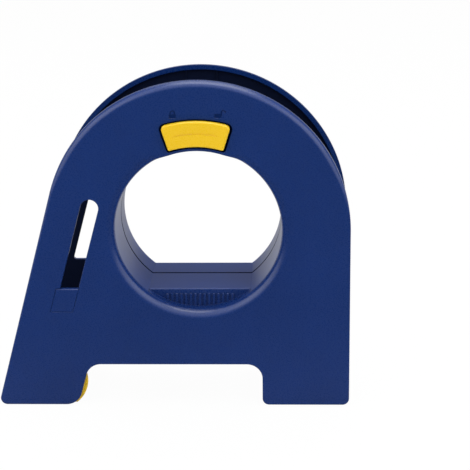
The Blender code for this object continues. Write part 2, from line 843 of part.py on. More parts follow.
def build_lock_latch(material):
    """Stem, bridge behind the plate's skin, and a tongue along the hub's wall with a lug."""
    inner = BORE_RADIUS + GAP
    outer = BORE_RADIUS + HUB_WALL - GAP
    front = SKIN + GAP
    tongue = sector(inner, outer, -TONGUE_ANGLE, TONGUE_ANGLE)
    latch = prism("lock_latch", tongue, front, TONGUE_TIP)
    bridge = sector(inner + STEP_OFF, STEM_OUTER, -STEM_ANGLE, STEM_ANGLE)
    join(latch, prism("bridge", bridge, front + STEP_OFF, front + BRIDGE_THICKNESS))
    narrow = STEM_ANGLE - STEP_OFF / STEM_OUTER
    stem = sector(STEM_INNER, STEM_OUTER - STEP_OFF, -narrow, narrow)
    join(latch, prism("stem", stem, -STEM_HEIGHT, front + BRIDGE_THICKNESS / 2))
    lug = sector(inner + STEP_OFF, outer - STEP_OFF, 0, LUG_ANGLE)
    join(latch, prism("lug", lug, TONGUE_TIP - LUG_LENGTH, TONGUE_TIP - STEP_OFF))
    return finish(latch, material)


# Brake tabs


def build_brake_tab(material):
    """A tab flush in its window, with a root block and a trunnion behind the plate."""
    high = up(SLOT_FOOT_HEIGHT)
    bottom = high - TAB_LENGTH
    x, depth, z = tab_pivot()
    outline = leg_band(band(TAB_SHARE), TAB_WIDTH, bottom, high)
    tab = prism("brake_tab", outline, 0, WALL)
    width = TAB_WIDTH - 2 * STEP_OFF
    root = leg_band(band(TAB_SHARE), width, bottom + STEP_OFF, bottom + TAB_ROOT_HEIGHT)
    join(tab, prism("root", root, WALL / 2, depth))
    reach = ear_offset() + EAR_WIDTH
    join(tab, rod("trunnion", (x - reach, depth, z), (x + reach, depth, z), TRUNNION_RADIUS))
    finish(tab, material, (x, depth, z))


def leaf_foot():
    """The lower and upper end of the leaf spring's foot."""
    high = tab_pivot()[2] - LEAF_DROP
    return high - LEAF_FOOT, high


def strip(points, thickness):
    """The outline of a bent strip that follows a line of (depth, z) points."""
    points = [Vector(point) for point in points]
    sides = ([], [])
    for i, point in enumerate(points):
        before = points[max(i - 1, 0)]
        after = points[min(i + 1, len(points) - 1)]
        along = [(b - a).normalized() for a, b in ((before, point), (point, after)) if a != b]
        across = [Vector((-d.y, d.x)) for d in along]
        middle = (across[0] + across[-1]).normalized()
        offset = middle * thickness / 2 / middle.dot(across[0])
        sides[0].append(tuple(point + offset))
        sides[1].append(tuple(point - offset))
    return sides[0] + sides[1][::-1]


def build_brake_tab_spring(steel):
    """A bent leaf: its foot on the pad, over the trunnion, and its tip on the tab's back."""
    x, depth, z = tab_pivot()
    foot_low, foot_high = leaf_foot()
    flat = LEAF_SEAT + GAP + LEAF_THICKNESS / 2
    over = depth + TRUNNION_RADIUS + GAP + LEAF_THICKNESS / 2
    tip = WALL + 2 * GAP + LEAF_THICKNESS / 2
    points = [
        (flat, foot_low),
        (flat, foot_high),
        (over, foot_high + LEAF_RAMP),
        (over, z + TRUNNION_RADIUS),
        (tip, z + LEAF_TIP),
    ]
    leaf = cross_prism(
        "brake_tab_spring",
        strip(points, LEAF_THICKNESS),
        x - LEAF_WIDTH / 2,
        x + LEAF_WIDTH / 2,
    )
    middle = (foot_low + foot_high) / 2
    ends = (LEAF_SEAT, LEAF_SEAT + LEAF_THICKNESS + 2 * GAP)
    cut(leaf, pin("hole", x, middle, LEAF_PEG_RADIUS + GAP, *ends))
    finish(leaf, steel)


# Rollers


def roller_ends():
    """Where the rollers start and end: between the bosses."""
    start = WALL + BOSS_REACH + GAP
    return start, BODY_DEPTH - start


def chamfered_tube(inner, outer, start, end):
    """The profile of a roller with broken edges."""
    return [
        (inner, start),
        (outer - CHAMFER, start),
        (outer, start + CHAMFER),
        (outer, end - CHAMFER),
        (outer - CHAMFER, end),
        (inner, end),
    ]


def build_press_roller(core_material, sleeve_material, washer_material, steel):
    x, z = press_axis()
    start, end = roller_ends()
    inset = WASHER_THICKNESS + GAP
    bore = PRESS_AXLE_RADIUS + GAP
    pivot = (x, (start + end) / 2, z)
    profile = chamfered_tube(bore, CORE_RADIUS, start + inset, end - inset)
    core = turned("press_roller_core", profile, x, z, TURN_STEPS // 3)
    finish(core, core_material, pivot)
    sleeve_bore = CORE_RADIUS + GAP
    profile = chamfered_tube(sleeve_bore, PRESS_RADIUS, start + inset, end - inset)
    sleeve = turned("press_roller_sleeve", profile, x, z, TURN_STEPS // 2)
    finish(sleeve, sleeve_material, pivot)
    for name, near in (("press_washer_front", start), ("press_washer_rear", end - WASHER_THICKNESS)):
        far = near + WASHER_THICKNESS
        ring = [(bore, near), (WASHER_RADIUS, near), (WASHER_RADIUS, far), (bore, far)]
        finish(turned(name, ring, x, z, TURN_STEPS // 3), washer_material)
    seat = AXLE_SEAT + GAP
    axle = pin("press_roller_axle", x, z, PRESS_AXLE_RADIUS, seat, BODY_DEPTH - seat)
    finish(axle, steel)


def build_guide_roller(roller_material, steel):
    start, end = roller_ends()
    x, z = guide_axis()
    profile = chamfered_tube(GUIDE_AXLE_RADIUS + GAP, GUIDE_RADIUS, start, end)
    roller = turned("guide_roller", profile, x, z, TURN_STEPS // 3)
    finish(roller, roller_material, (x, (start + end) / 2, z))
    seat = AXLE_SEAT + GAP
    axle = pin("guide_roller_axle", x, z, GUIDE_AXLE_RADIUS, seat, BODY_DEPTH - seat)
    finish(axle, steel)


# Blade guard


def cheek_outline():
    """From the pivot's eye down to a round lobe in front of the blade."""
    points = arc(*guard_axis(), GUARD_EYE, *EYE_ANGLES)
    return points + arc(*lobe_middle(), LOBE_RADIUS, *LOBE_ANGLES)


def axle_way():
    """The curved way, about the guard's pivot, that the press roller's boss needs."""
    pivot = Vector(guard_axis())
    boss = Vector(press_axis())
    arm = boss - pivot
    start = math.atan2(arm.y, arm.x)
    end = start + GUARD_SWING
    half = PRESS_BOSS_RADIUS + GAP
    near = arm.length - half
    far = arm.length + half
    points = arc(*pivot, far, start, end)
    tip = pivot + Vector((math.cos(end), math.sin(end))) * arm.length
    points += arc(*tip, half, end, end + math.pi)[1:-1]
    points += arc(*pivot, near, end, start)
    points += arc(*boss, half, start + math.pi, start + 2 * math.pi)[1:-1]
    return points


def build_blade_guard(material):
    guard = None
    for side in (FRONT, REAR):
        start = from_face(side, WALL + GAP)
        end = from_face(side, WALL + GAP + CHEEK)
        before = from_face(side, WALL)
        after = from_face(side, WALL + 2 * GAP + CHEEK)
        cheek = prism("cheek", cheek_outline(), start, end)
        eye = GUARD_BOSS_RADIUS + GAP
        cut(cheek, pin("eye", *guard_axis(), eye, before, after))
        cut(cheek, prism("axle_way", axle_way(), before, after))
        if guard:
            join(guard, cheek)
        else:
            guard = cheek
            x, z = bridge_middle()
            left = x - BRIDGE_WIDTH / 2
            low = z - BRIDGE_THICK / 2
            bar = rectangle(left, left + BRIDGE_WIDTH, low, low + BRIDGE_THICK)
            inner = WALL + GAP + CHEEK / 2
            join(guard, prism("bridge", bar, inner, BODY_DEPTH - inner))
    guard.name = "blade_guard"
    x, z = guard_axis()
    finish(guard, material, (x, BODY_DEPTH / 2, z))


def build_guard_pin(steel):
    seat = AXLE_SEAT + GAP
    x, z = guard_axis()
    finish(pin("guard_pin", x, z, GUARD_PIN_RADIUS, seat, BODY_DEPTH - seat), steel)


def spring_points():
    """A coil round the pin with one leg to the peg and one under the guard's bridge."""
    start = WALL + BOSS_REACH + GAP + SPRING_WIRE
    clear = SPRING_WIRE + GAP
    pivot_x, pivot_z = guard_axis()
    peg_x, peg_z = spring_peg()
    points = [(peg_x - SPRING_PEG_RADIUS, start, peg_z + SPRING_PEG_RADIUS + clear)]
    count = round(SPRING_TURNS * SPRING_POINTS)
    for i in range(count + 1):
        turn = i / SPRING_POINTS
        angle = math.pi / 2 - 2 * math.pi * turn
        x = pivot_x + SPRING_RADIUS * math.cos(angle)
        z = pivot_z + SPRING_RADIUS * math.sin(angle)
        points.append((x, start + turn * SPRING_PITCH, z))
    depth = points[-1][1]
    x, z = bridge_middle()
    low = z - BRIDGE_THICK / 2 - clear
    points.append((x - BRIDGE_WIDTH / 2 - clear, depth, low))
    points.append((x, depth, low))
    return points


def print_spring_gap(points):
    """The least gap between neighbouring turns, measured on the coil's points."""
    coil = [Vector(point) for point in points[1:-2]]
    least = min(
        (a - b).length
        for i, a in enumerate(coil)
        for b in coil[i + SPRING_POINTS // 2 :]
    )
    print("guard spring: least gap between turns", round((least - 2 * SPRING_WIRE) / MM, 2), "mm")


def build_guard_spring(steel):
    points = spring_points()
    print_spring_gap(points)
    curve = bpy.data.curves.new("guard_spring", "CURVE")
    curve.dimensions = "3D"
    curve.bevel_depth = SPRING_WIRE
    curve.bevel_resolution = 1
    curve.use_fill_caps = True
    spline = curve.splines.new("POLY")
    spline.points.add(len(points) - 1)
    for point, place_on in zip(spline.points, points):
        point.co = (*place_on, 1)
    draft = bpy.data.objects.new("guard_spring", curve)
    collection_named(PARTS).objects.link(draft)
    mesh = baked(draft)
    bpy.data.objects.remove(draft)
    finish(add("guard_spring", mesh), steel)


# Blade


def peg_places():
    """Two pegs that hold each end of the blade's holder."""
    middle = blade_left() + BLADE_THICKNESS + GAP + HOLDER_WIDTH / 2
    z = holder_middle()
    half = PEG_SPACING / 2
    return [(middle - half, z), (middle + half, z)]


def screw_depths():
    return SCREW_INSET + WALL + BOSS_REACH, BODY_DEPTH - SCREW_INSET - WALL - BOSS_REACH


def build_blade(steel):
    """A strip with teeth cut into its lower edge."""
    start, end = roller_ends()
    start += BLADE_MARGIN
    end -= BLADE_MARGIN
    left = blade_left()
    right = left + BLADE_THICKNESS
    root = up(BLADE_ROOT)
    tip = root - TOOTH_HEIGHT
    blade = cross_prism("cutter_blade", rectangle(start, end, tip, up(BLADE_TOP)), left, right)
    count = round((end - start) / TOOTH_PITCH)
    pitch = (end - start) / count
    below = tip - OVERRUN
    half = pitch / 2 * (TOOTH_HEIGHT + OVERRUN) / TOOTH_HEIGHT
    for i in range(count + 1):
        middle = start + i * pitch
        notch = [(middle - half, below), (middle + half, below), (middle, root)]
        cut(blade, cross_prism("notch", notch, left - OVERRUN, right + OVERRUN))
    z = holder_middle()
    for depth in screw_depths():
        ends = ((left - OVERRUN, depth, z), (right + OVERRUN, depth, z))
        cut(blade, rod("hole", *ends, SCREW_RADIUS + GAP))
    finish(blade, steel)


def build_blade_holder(material):
    left = blade_left() + BLADE_THICKNESS + GAP
    z = holder_middle()
    low = z - HOLDER_THICK / 2
    bar = rectangle(left, left + HOLDER_WIDTH, low, low + HOLDER_THICK)
    start = WALL + GAP
    end = BODY_DEPTH - start
    holder = prism("blade_holder", bar, start, end)
    for x, peg_z in peg_places():
        hole = PEG_RADIUS + GAP
        deep = PEG_REACH + GAP
        cut(holder, pin("hole", x, peg_z, hole, start - OVERRUN, start + deep))
        cut(holder, pin("hole", x, peg_z, hole, end - deep, end + OVERRUN))
    for depth in screw_depths():
        tip = blade_left() + SCREW_LENGTH + GAP
        cut(holder, rod("hole", (left - OVERRUN, depth, z), (tip, depth, z), SCREW_RADIUS + GAP))
    finish(holder, material)


def build_blade_screws(steel):
    z = holder_middle()
    under_head = blade_left() - GAP
    for name, depth in zip(("blade_screw_front", "blade_screw_rear"), screw_depths()):
        top = under_head - SCREW_HEAD_HEIGHT
        screw = rod(name, (top, depth, z), (under_head, depth, z), SCREW_HEAD_RADIUS)
        shank = ((under_head - SINK, depth, z), (blade_left() + SCREW_LENGTH, depth, z))
        join(screw, rod("shank", *shank, SCREW_RADIUS))
        finish(screw, steel)


def clear_scene():
    for obj in list(bpy.data.objects):
        bpy.data.objects.remove(obj, do_unlink=True)


def main():
    clear_scene()
    blue = material_of("blue_plastic", BLUE, 0.42)
    yellow = material_of("yellow_plastic", YELLOW, 0.38)
    black = material_of("black_plastic", BLACK, 0.5)
    white = material_of("white_plastic", WHITE, 0.4)
    rubber = material_of("rubber", RUBBER, 0.8)
    steel = material_of("steel", STEEL, 0.3, 1.0)
    build_shell(FRONT, "front_shell", blue)
    build_shell(REAR, "rear_shell", blue)
    build_lock_button(yellow)
    build_lock_latch(black)
    build_brake_tab(blue)
    build_brake_tab_spring(steel)
    build_press_roller(white, rubber, white, steel)
    build_guide_roller(white, steel)
    build_blade_guard(yellow)
    build_guard_pin(steel)
    build_guard_spring(steel)
    build_blade(steel)
    build_blade_holder(black)
    build_blade_screws(steel)


main()
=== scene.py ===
"""The masking tape applicator as it looks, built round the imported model.

Two dished side plates on a bored hub, with the rollers, blade and guard in the slanted
leg. Metres, +Z up, the front seen along +Y. Places across the front are given from the
hub's axis and depths from the front face.
"""

from math import asin, atan2, ceil, cos, hypot, pi, radians, remainder, sin, sqrt, tan

import bmesh
import bpy
from mathutils import Matrix, Vector


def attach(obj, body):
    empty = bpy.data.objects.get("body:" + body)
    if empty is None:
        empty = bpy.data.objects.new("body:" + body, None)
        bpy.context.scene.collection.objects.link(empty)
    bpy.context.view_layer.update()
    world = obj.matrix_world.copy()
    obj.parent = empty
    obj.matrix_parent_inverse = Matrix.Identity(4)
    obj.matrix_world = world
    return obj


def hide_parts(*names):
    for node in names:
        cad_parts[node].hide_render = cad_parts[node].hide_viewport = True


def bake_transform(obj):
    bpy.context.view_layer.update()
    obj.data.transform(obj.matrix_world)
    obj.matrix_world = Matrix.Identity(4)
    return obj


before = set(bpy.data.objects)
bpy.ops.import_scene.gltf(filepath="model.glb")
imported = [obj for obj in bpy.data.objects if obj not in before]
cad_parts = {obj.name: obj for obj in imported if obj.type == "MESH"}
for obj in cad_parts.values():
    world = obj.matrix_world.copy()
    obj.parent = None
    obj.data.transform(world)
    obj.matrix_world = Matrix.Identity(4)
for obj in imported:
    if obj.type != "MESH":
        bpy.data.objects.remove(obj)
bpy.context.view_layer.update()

MM = 0.001

# Fits and steps
GAP = 0.3 * MM
OVERRUN = 1.0 * MM
SINK = 0.5 * MM
MERGE = 0.001 * MM
STEP_OFF = 0.1 * MM
ROUNDING = 0.01
SMOOTH_ANGLE = radians(32)
FLAT_WEIGHT = 100
WIDE_STEP = radians(1.5)
SMALL_STEP = radians(7.5)
HUB_STEPS = 180
ROLLER_STEPS = 96
ROD_STEPS = 40
SOFT_STEPS = 3

# Outline of the side plates
PLATE_RADIUS = 64.0 * MM
AXIS_HEIGHT = 79.5 * MM
LEG_ANGLE = radians(16.0)
EDGE_LEAN = radians(0.4)
LEG_WIDTH = 33.9 * MM
NOTCH_HEIGHT = 19.2 * MM
FOOT_INNER = 26.8 * MM
FOOT_CORNER = 2.9 * MM
TOE_RADIUS = 7.1 * MM
NOTCH_FILLET = 6.8 * MM

# Shells
BODY_DEPTH = 40.9 * MM
PARTING = 26.4 * MM
WALL = 2.0 * MM
RIM_DEPTH = 4.0 * MM
EDGE_FILLET = 2.6 * MM
EDGE_STEPS = 8
EDGE_LOW = 4.0 * MM
EDGE_HIGH = 32.0 * MM
EDGE_LEAST = 0.2
LEG_WALL_HEIGHT = 41.5 * MM
FOOT_WALL_HEIGHT = 23.5 * MM
GUARD_WAY_HEIGHT = 18.0 * MM
TOE_CLEARANCE = 1.1 * MM
LINE_X = (-6.2 * MM, 7.3 * MM)
LINE_WIDTH = 0.7 * MM
LINE_HEIGHT = 0.5 * MM
FOOT_MARK = (43.4 * MM, -67.5 * MM)
FOOT_MARK_RADIUS = 1.1 * MM
FOOT_MARK_DEPTH = 0.12 * MM

# Hub and hand hole
BORE_RADIUS = 35.2 * MM
HUB_WALL = 2.5 * MM
FLARE = 4.0 * MM
FLARE_LEAST = 0.05 * MM
FLARE_BLEND = radians(14)
REAR_FLARE = 1.2 * MM
FLARE_STEPS = 10
SEAT_ANGLE = radians(18)
SEAM_BEVEL = 0.5 * MM
FLOOR_DROP = 27.4 * MM
FLOOR_SETBACK = 6.5 * MM
FLOOR_WALL = 2.0 * MM
FLOOR_ROUND = 0.6 * MM
RIB_COUNT = 15
RIB_PITCH = 2.0 * MM
RIB_WIDTH = 1.0 * MM
RIB_PROUD = 0.7 * MM
RIB_MARGIN = 2.2 * MM

# Lock
CAP_INNER = 37.2 * MM
CAP_OUTER = 48.0 * MM
CAP_ANGLE = radians(17.6)
CAP_PROUD = 2.1 * MM
CAP_TOP_CORNER = 2.0 * MM
CAP_LOW_CORNER = 0.7 * MM
CAP_LEAST_CORNER = 0.12 * MM
CAP_FILLET = 0.9 * MM
CAP_FILLET_STEPS = 6
CAP_LINE_RADIUS = 42.6 * MM
CAP_LINE_ANGLES = (radians(13.5), radians(10))
CAP_LINE_WIDTHS = (1.2 * MM, 0.5 * MM)
CAP_LINE_DEPTH = 0.4 * MM
CAP_TRENCH = 0.5 * MM
CAP_SIDE_TRENCH = radians(0.7)
CAP_LOW_TRENCH = 0.95 * MM
CAP_TRENCH_DEPTH = 0.5 * MM
LOCK_SWING = radians(6)
LOCK_MARGIN = radians(0.6)
SKIN = 0.9 * MM
STEM_INNER = 40.0 * MM
STEM_OUTER = 45.0 * MM
STEM_ANGLE = radians(4.4)
STEM_HEIGHT = 1.2 * MM
TONGUE_ANGLE = radians(5)
TONGUE_TIP = 33.5 * MM
LUG_LENGTH = 2.5 * MM
LUG_ANGLE = radians(8.5)
MARK_DEPTH = 0.25 * MM
MARK_STROKE = 0.55 * MM
CLOSED_MARK = (-9.3 * MM, 49.75 * MM)
OPEN_MARK = (9.2 * MM, 49.8 * MM)
MARK_BODY = (2.8 * MM, 1.7 * MM)
SHACKLE_RADIUS = 0.85 * MM
SHACKLE_LEG = 0.5 * MM

# Sight slot and brake tab
SLOT_SHARE = 0.331
SLOT_WIDTH = 7.6 * MM
SLOT_TOP = 10.6 * MM
SLOT_FOOT_HEIGHT = 54.2 * MM
SLOT_CORNER = 1.0 * MM
SLOT_ROUND = 0.35 * MM
TAB_SHARE = 0.3574
TAB_WIDTH = 9.0 * MM
TAB_LENGTH = 10.2 * MM
TAB_SLIT = 0.4 * MM
TAB_SEAM = 0.08 * MM
TAB_ROUND = 0.4 * MM
TAB_SIDE_SHARE = 0.3
TAB_PIVOT_RISE = 1.4 * MM
TAB_ROOT_HEIGHT = 2.8 * MM
TAB_MARK_RISE = 2.2 * MM
TAB_MARK_RADIUS = 1.0 * MM
TRUNNION_RADIUS = 1.1 * MM
EAR_WIDTH = 1.6 * MM
EAR_MARGIN = 1.2 * MM
LEAF_WIDTH = 4.0 * MM
LEAF_THICKNESS = 0.4 * MM
LEAF_SEAT = 3.0 * MM
LEAF_FOOT = 5.0 * MM
LEAF_DROP = 5.5 * MM
LEAF_PEG_RADIUS = 1.0 * MM

# Press roller
PRESS_INSET = 25.8 * MM
PRESS_RADIUS = 9.3 * MM
PRESS_LIFT = 0.05 * MM
CORE_RADIUS = 6.8 * MM
PRESS_AXLE_RADIUS = 2.0 * MM
PRESS_BOSS_RADIUS = 3.2 * MM
WASHER_RADIUS = 4.4 * MM
WASHER_THICKNESS = 0.5 * MM
ROLLER_ROUND = 0.5 * MM

# Guide roller
GUIDE_INSET = 14.9 * MM
GUIDE_HEIGHT = 26.5 * MM
GUIDE_RADIUS = 4.0 * MM
GUIDE_AXLE_RADIUS = 1.5 * MM
GUIDE_BOSS_RADIUS = 2.8 * MM
GUIDE_GROOVES = 5
GROOVE_WIDTH = 0.8 * MM
GROOVE_DEPTH = 0.25 * MM
GROOVE_SHARES = ((-1, 0), (-0.6, 0.8), (0, 1), (0.6, 0.8), (1, 0))
BOSS_REACH = 1.9 * MM
AXLE_SEAT = 1.2 * MM

# Blade guard, its parts placed from its pivot
GUARD_INSET = 25.4 * MM
GUARD_HEIGHT = 23.0 * MM
GUARD_PIN_RADIUS = 1.25 * MM
GUARD_BOSS_RADIUS = 2.6 * MM
GUARD_EYE = 4.4 * MM
CHEEK = 1.5 * MM
CHEEK_ROUND = 0.3 * MM
LOBE_ACROSS = 2.3 * MM
LOBE_DROP = 11.2 * MM
LOBE_RADIUS = 11.6 * MM
LOBE_ANGLES = (radians(50), radians(-104))
BELLY_RADIUS = 13.6 * MM
BELLY_ANGLE = radians(29)
EYE_ANGLES = (radians(190), radians(20))
GUARD_SWING = radians(15)
BRIDGE_ACROSS = 5.4 * MM
BRIDGE_DROP = 1.7 * MM
BRIDGE_WIDTH = 4.0 * MM
BRIDGE_THICK = 2.0 * MM
STOP_RADIUS = 0.9 * MM
STOP_TIP = 4.0 * MM

# Guard spring
SPRING_RADIUS = 2.1 * MM
SPRING_WIRE = 0.35 * MM
SPRING_TURNS = 4.5
SPRING_PITCH = 1.2 * MM
SPRING_POINTS = 24
SPRING_ROUNDING = 3
SPRING_PEG_ACROSS = 5.6 * MM
SPRING_PEG_DROP = 0.9 * MM
SPRING_PEG_RADIUS = 0.9 * MM
SPRING_PEG_TIP = 6.5 * MM

# Blade and its holder
BLADE_INSET = 36.6 * MM
BLADE_THICKNESS = 0.6 * MM
HOLDER_TOP = 24.5 * MM
HOLDER_THICK = 3.0 * MM
HOLDER_WIDTH = 6.4 * MM
SCREW_RADIUS = 0.8 * MM
SCREW_LENGTH = 4.5 * MM
SCREW_HEAD_RADIUS = 1.5 * MM
SCREW_HEAD_HEIGHT = 1.0 * MM
SCREW_INSET = 6.0 * MM
SCREW_SLOT = 0.35 * MM
SCREW_DOME = 0.35
PEG_RADIUS = 0.7 * MM
PEG_REACH = 3.0 * MM
PEG_SPACING = 2.8 * MM

# Posts that line the two halves up: insets from the plate's edge or the leg's corner, heights
POST_RADIUS = 3.3 * MM
POST_PIN_RADIUS = 1.5 * MM
POST_PIN_REACH = 10.0 * MM
EDGE_POSTS = (
    (18.0 * MM, 11.0 * MM),
    (7.0 * MM, 41.5 * MM),
)
TOE_POST = (7.1 * MM, 8.0 * MM)

FRONT = "front"
REAR = "rear"

# Camera, in the hub's coordinates, and the size of its picture
FOCAL_PIXELS = 1250
PICTURE_PIXELS = 470
SENSOR = 36
CAMERA_PITCH = radians(18.27)
CAMERA_YAW = radians(-1.858)
CAMERA_ROLL = radians(0.701)
CAMERA_SHIFT = (-15.59 * MM, 1.16 * MM)
CAMERA_DISTANCE = 523.4 * MM
CAMERA_CLIP = (0.01, 50)

# Colours, linear
BLUE = (0.0028, 0.0248, 0.141)
YELLOW = (0.84, 0.53, 0.006)
BLACK = (0.02, 0.02, 0.022)
WHITE = (0.76, 0.76, 0.73)
RUBBER = (0.035, 0.035, 0.037)
STEEL = (0.62, 0.62, 0.64)
WHITE_LIGHT = (1, 1, 1, 1)

# Shares of the blue: painted shade between the plates, painted light in the bore, painted shade in
# the marks and a painted shadow in the cap's trench
INSIDE_PAINTED_SHADE = 0.14
BORE_PAINTED_LIGHT = 1.4
MARK_PAINTED_SHADE = 0.6
TRENCH_PAINTED_SHADOW = 0.06

# Noise as (scale, detail), the plastic's tones and gloss, and how deep each grain goes
SLOW_NOISE = (28, 3)
FINE_NOISE = (1900, 2)
CELL_SCALE = 1500
TONE_ENDS = (0.3, 0.7)
GLOSS_SPREAD = 0.05
BEVEL_SAMPLES = 4
PLASTIC_BUMP = 0.03 * MM
PLASTIC_BEVEL = 0.2 * MM
STEEL_NOISE = (1200, 4)
STEEL_DARK = 0.85
STEEL_GLOSS_SPREAD = (0.06, 0.08)
STEEL_GRAIN = 0.2
STEEL_BUMP = 0.01 * MM
STEEL_BEVEL = 0.1 * MM
RING_STRETCH = (0.2, 1.0, 0.2)
RING_NOISE = (2600, 2)
SPECKLE_NOISE = (1500, 5)
RUBBER_TONES = (0.75, 1.35)
RUBBER_ROUGHNESS = 0.82
RUBBER_GRAIN = 0.5
RUBBER_BUMP = 0.04 * MM

# Studio: the sky's even light, and its gloss, which grows forwards and upwards
SKY_EVEN = 0.25
SKY_LOW = 0.33
SKY_FRONT = 2.2
GLOSS_AHEAD = (0.5, -0.3)
GLOSS_RISE = (-0.05, 0.75)

# The floor, which is white in the camera's view, and the lamps: place, size, power
FLOOR_FRONT = 0.03
FLOOR_BACK = 0.75
FLOOR_FADE = (-0.15, 0.15)
FLOOR_COLOUR = (0.9, 0.9, 0.9, 1)
LAMPS = (
    ("top", (0.1, 0.0, 1.05), (0.9, 0.7), 9.0),
    ("left", (-1.2, -0.65, 0.6), (1.9, 1.2), 10.5),
    ("right", (1.2, -0.65, 0.6), (1.9, 1.2), 10.5),
    ("behind", (0.0, 1.0, 1.2), (1.2, 0.6), 4.0),
)
FLOOR_SIZE = 8
FLOOR_DROP_BELOW = 0.05 * MM
FLOOR_GLOW = 0.97
FLOOR_ROUGHNESS = 0.9


def shade(colour, share):
    return tuple(c * share for c in colour)


# The plastics: colour, roughness, shift of tone, grain, specular
PLASTICS = {
    "blue_moulding": (BLUE, 0.28, 0.06, 0.5, 0.4),
    # The blue darkened as painted shade between the plates
    "blue_inside": (shade(BLUE, INSIDE_PAINTED_SHADE), 0.7, 0.06, 0.35, 0.1),
    # The blue lightened as painted light in the bore
    "blue_bore": (shade(BLUE, BORE_PAINTED_LIGHT), 0.3, 0.06, 0.2, 0.36),
    # The blue darkened as painted shade on the marks' floors
    "blue_mark": (shade(BLUE, MARK_PAINTED_SHADE), 0.6, 0.06, 0.35, 0.05),
    # The blue darkened almost to black as a painted shadow in the cap's trench
    "blue_recess": (shade(BLUE, TRENCH_PAINTED_SHADOW), 0.8, 0.06, 0.35, 0.0),
    "yellow_moulding": (YELLOW, 0.28, 0.02, 0.15, 0.45),
    "black_moulding": (BLACK, 0.5, 0.15, 0.35, 0.5),
    "white_moulding": (WHITE, 0.35, 0.02, 0.15, 0.5),
}

# The steels: how their lines stretch, and roughness
STEELS = {
    "drawn_steel": ((1.0, 0.06, 1.0), 0.28),
    "rolled_steel": ((1.0, 1.0, 0.06), 0.32),
}


# Each piece's look, the body that carries it (none where it bends) and the node it replaces
PIECES = {
    "front_moulding": ("blue_moulding", "front_half", "front_shell"),
    "rear_moulding": ("blue_moulding", "rear_half", "rear_shell"),
    "lock_cap": ("yellow_moulding", "lock", "lock_button"),
    "brake_pad": ("blue_moulding", "brake", "brake_tab"),
    "roller_core": ("white_moulding", "press_roller", "press_roller_core"),
    "roller_sleeve": ("ground_rubber", "press_roller", "press_roller_sleeve"),
    "roller_washer_front": ("white_moulding", "front_half", "press_washer_front"),
    "roller_washer_rear": ("white_moulding", "front_half", "press_washer_rear"),
    "roller_axle": ("drawn_steel", "front_half", "press_roller_axle"),
    "guide_wheel": ("white_moulding", "guide", "guide_roller"),
    "guide_axle": ("drawn_steel", "front_half", "guide_roller_axle"),
    "guard_arm": ("yellow_moulding", "guard", "blade_guard"),
    "guard_pivot": ("drawn_steel", "front_half", "guard_pin"),
    "torsion_spring": ("drawn_steel", None, "guard_spring"),
    "screw_front": ("drawn_steel", "front_half", "blade_screw_front"),
    "screw_rear": ("drawn_steel", "front_half", "blade_screw_rear"),
}
CAD_LOOKS = {
    "lock_latch": "black_moulding",
    "blade_holder": "black_moulding",
    "cutter_blade": "rolled_steel",
    "brake_tab_spring": "rolled_steel",
}


# Places


def leg_x(offset, z):
    """Where a line along the leg, at this distance from the hub's axis, crosses a height."""
    return (z * sin(LEG_ANGLE) - offset) / cos(LEG_ANGLE)


def edge_x(z, inset=0.0):
    """The right edge, which leans out a little towards the foot."""
    return (PLATE_RADIUS - inset + z * sin(-EDGE_LEAN)) / cos(EDGE_LEAN)


def toe_x(inset):
    """A place across the head, in from the leg's outer corner on the ground."""
    return leg_x(PLATE_RADIUS, -AXIS_HEIGHT) + inset


def up(height):
    """A height above the ground, as one from the hub's axis."""
    return height - AXIS_HEIGHT


def band(share):
    """A distance from the hub's axis, a share of the way from the hub to the edge."""
    hub = BORE_RADIUS + HUB_WALL
    return hub + share * (PLATE_RADIUS - hub)


FOOT_ROUND_Z = up(FOOT_CORNER)
LEFT_END = leg_x(PLATE_RADIUS - FOOT_CORNER, FOOT_ROUND_Z) - FOOT_CORNER
RIGHT_END = edge_x(FOOT_ROUND_Z, FOOT_CORNER) + FOOT_CORNER
HUB_X = -(LEFT_END + RIGHT_END) / 2
FRONT_Y = (CAP_PROUD - BODY_DEPTH) / 2
PRESS_AXIS = (toe_x(PRESS_INSET), up(PRESS_LIFT + PRESS_RADIUS))
GUIDE_AXIS = (toe_x(GUIDE_INSET), up(GUIDE_HEIGHT))
GUARD_AXIS = (toe_x(GUARD_INSET), up(GUARD_HEIGHT))
BLADE_LEFT = toe_x(BLADE_INSET)
HOLDER_MIDDLE = up(HOLDER_TOP - HOLDER_THICK / 2)


def place(x, depth, z):
    """A point given from the hub's axis and the front face, in the world."""
    return Vector((HUB_X + x, FRONT_Y + depth, AXIS_HEIGHT + z))


def from_face(side, depth):
    """A depth measured from the outer face of one side plate, as a depth from the front."""
    return depth if side == FRONT else BODY_DEPTH - depth


def half_depth(side):
    """How deep each half is, from its outer face to where the halves meet."""
    return PARTING - GAP / 2 if side == FRONT else BODY_DEPTH - PARTING - GAP / 2


# Outlines, as lists of (x, z)


def polar(x, z, radius, angle):
    """The point at an angle on a circle."""
    return x + radius * cos(angle), z + radius * sin(angle)


def spread(start, end, count):
    """Values from start to end in so many equal steps."""
    return [start + (end - start) * i / count for i in range(count + 1)]


def eased(low, high, share):
    """From low to high by a share, changing slowly at both ends."""
    rise = min(max(share, 0), 1)
    return low + (high - low) * rise * rise * (3 - 2 * rise)


def arc(x, z, radius, start, end, step=SMALL_STEP):
    """Points along an arc, both ends included."""
    count = max(2, ceil(abs(end - start) / step - ROUNDING))
    return [polar(x, z, radius, angle) for angle in spread(start, end, count)]


def fillet(before, corner, after, radius):
    """The corner between two straight sides, rounded."""
    corner = Vector(corner)
    first = (Vector(before) - corner).normalized()
    second = (Vector(after) - corner).normalized()
    half = first.angle(second) / 2
    centre = corner + (first + second).normalized() * radius / sin(half)
    start = corner + first * radius / tan(half) - centre
    end = corner + second * radius / tan(half) - centre
    low = atan2(start.y, start.x)
    turn = atan2(end.y, end.x) - low
    turn = (turn + pi) % (2 * pi) - pi
    return arc(centre.x, centre.y, radius, low, low + turn)


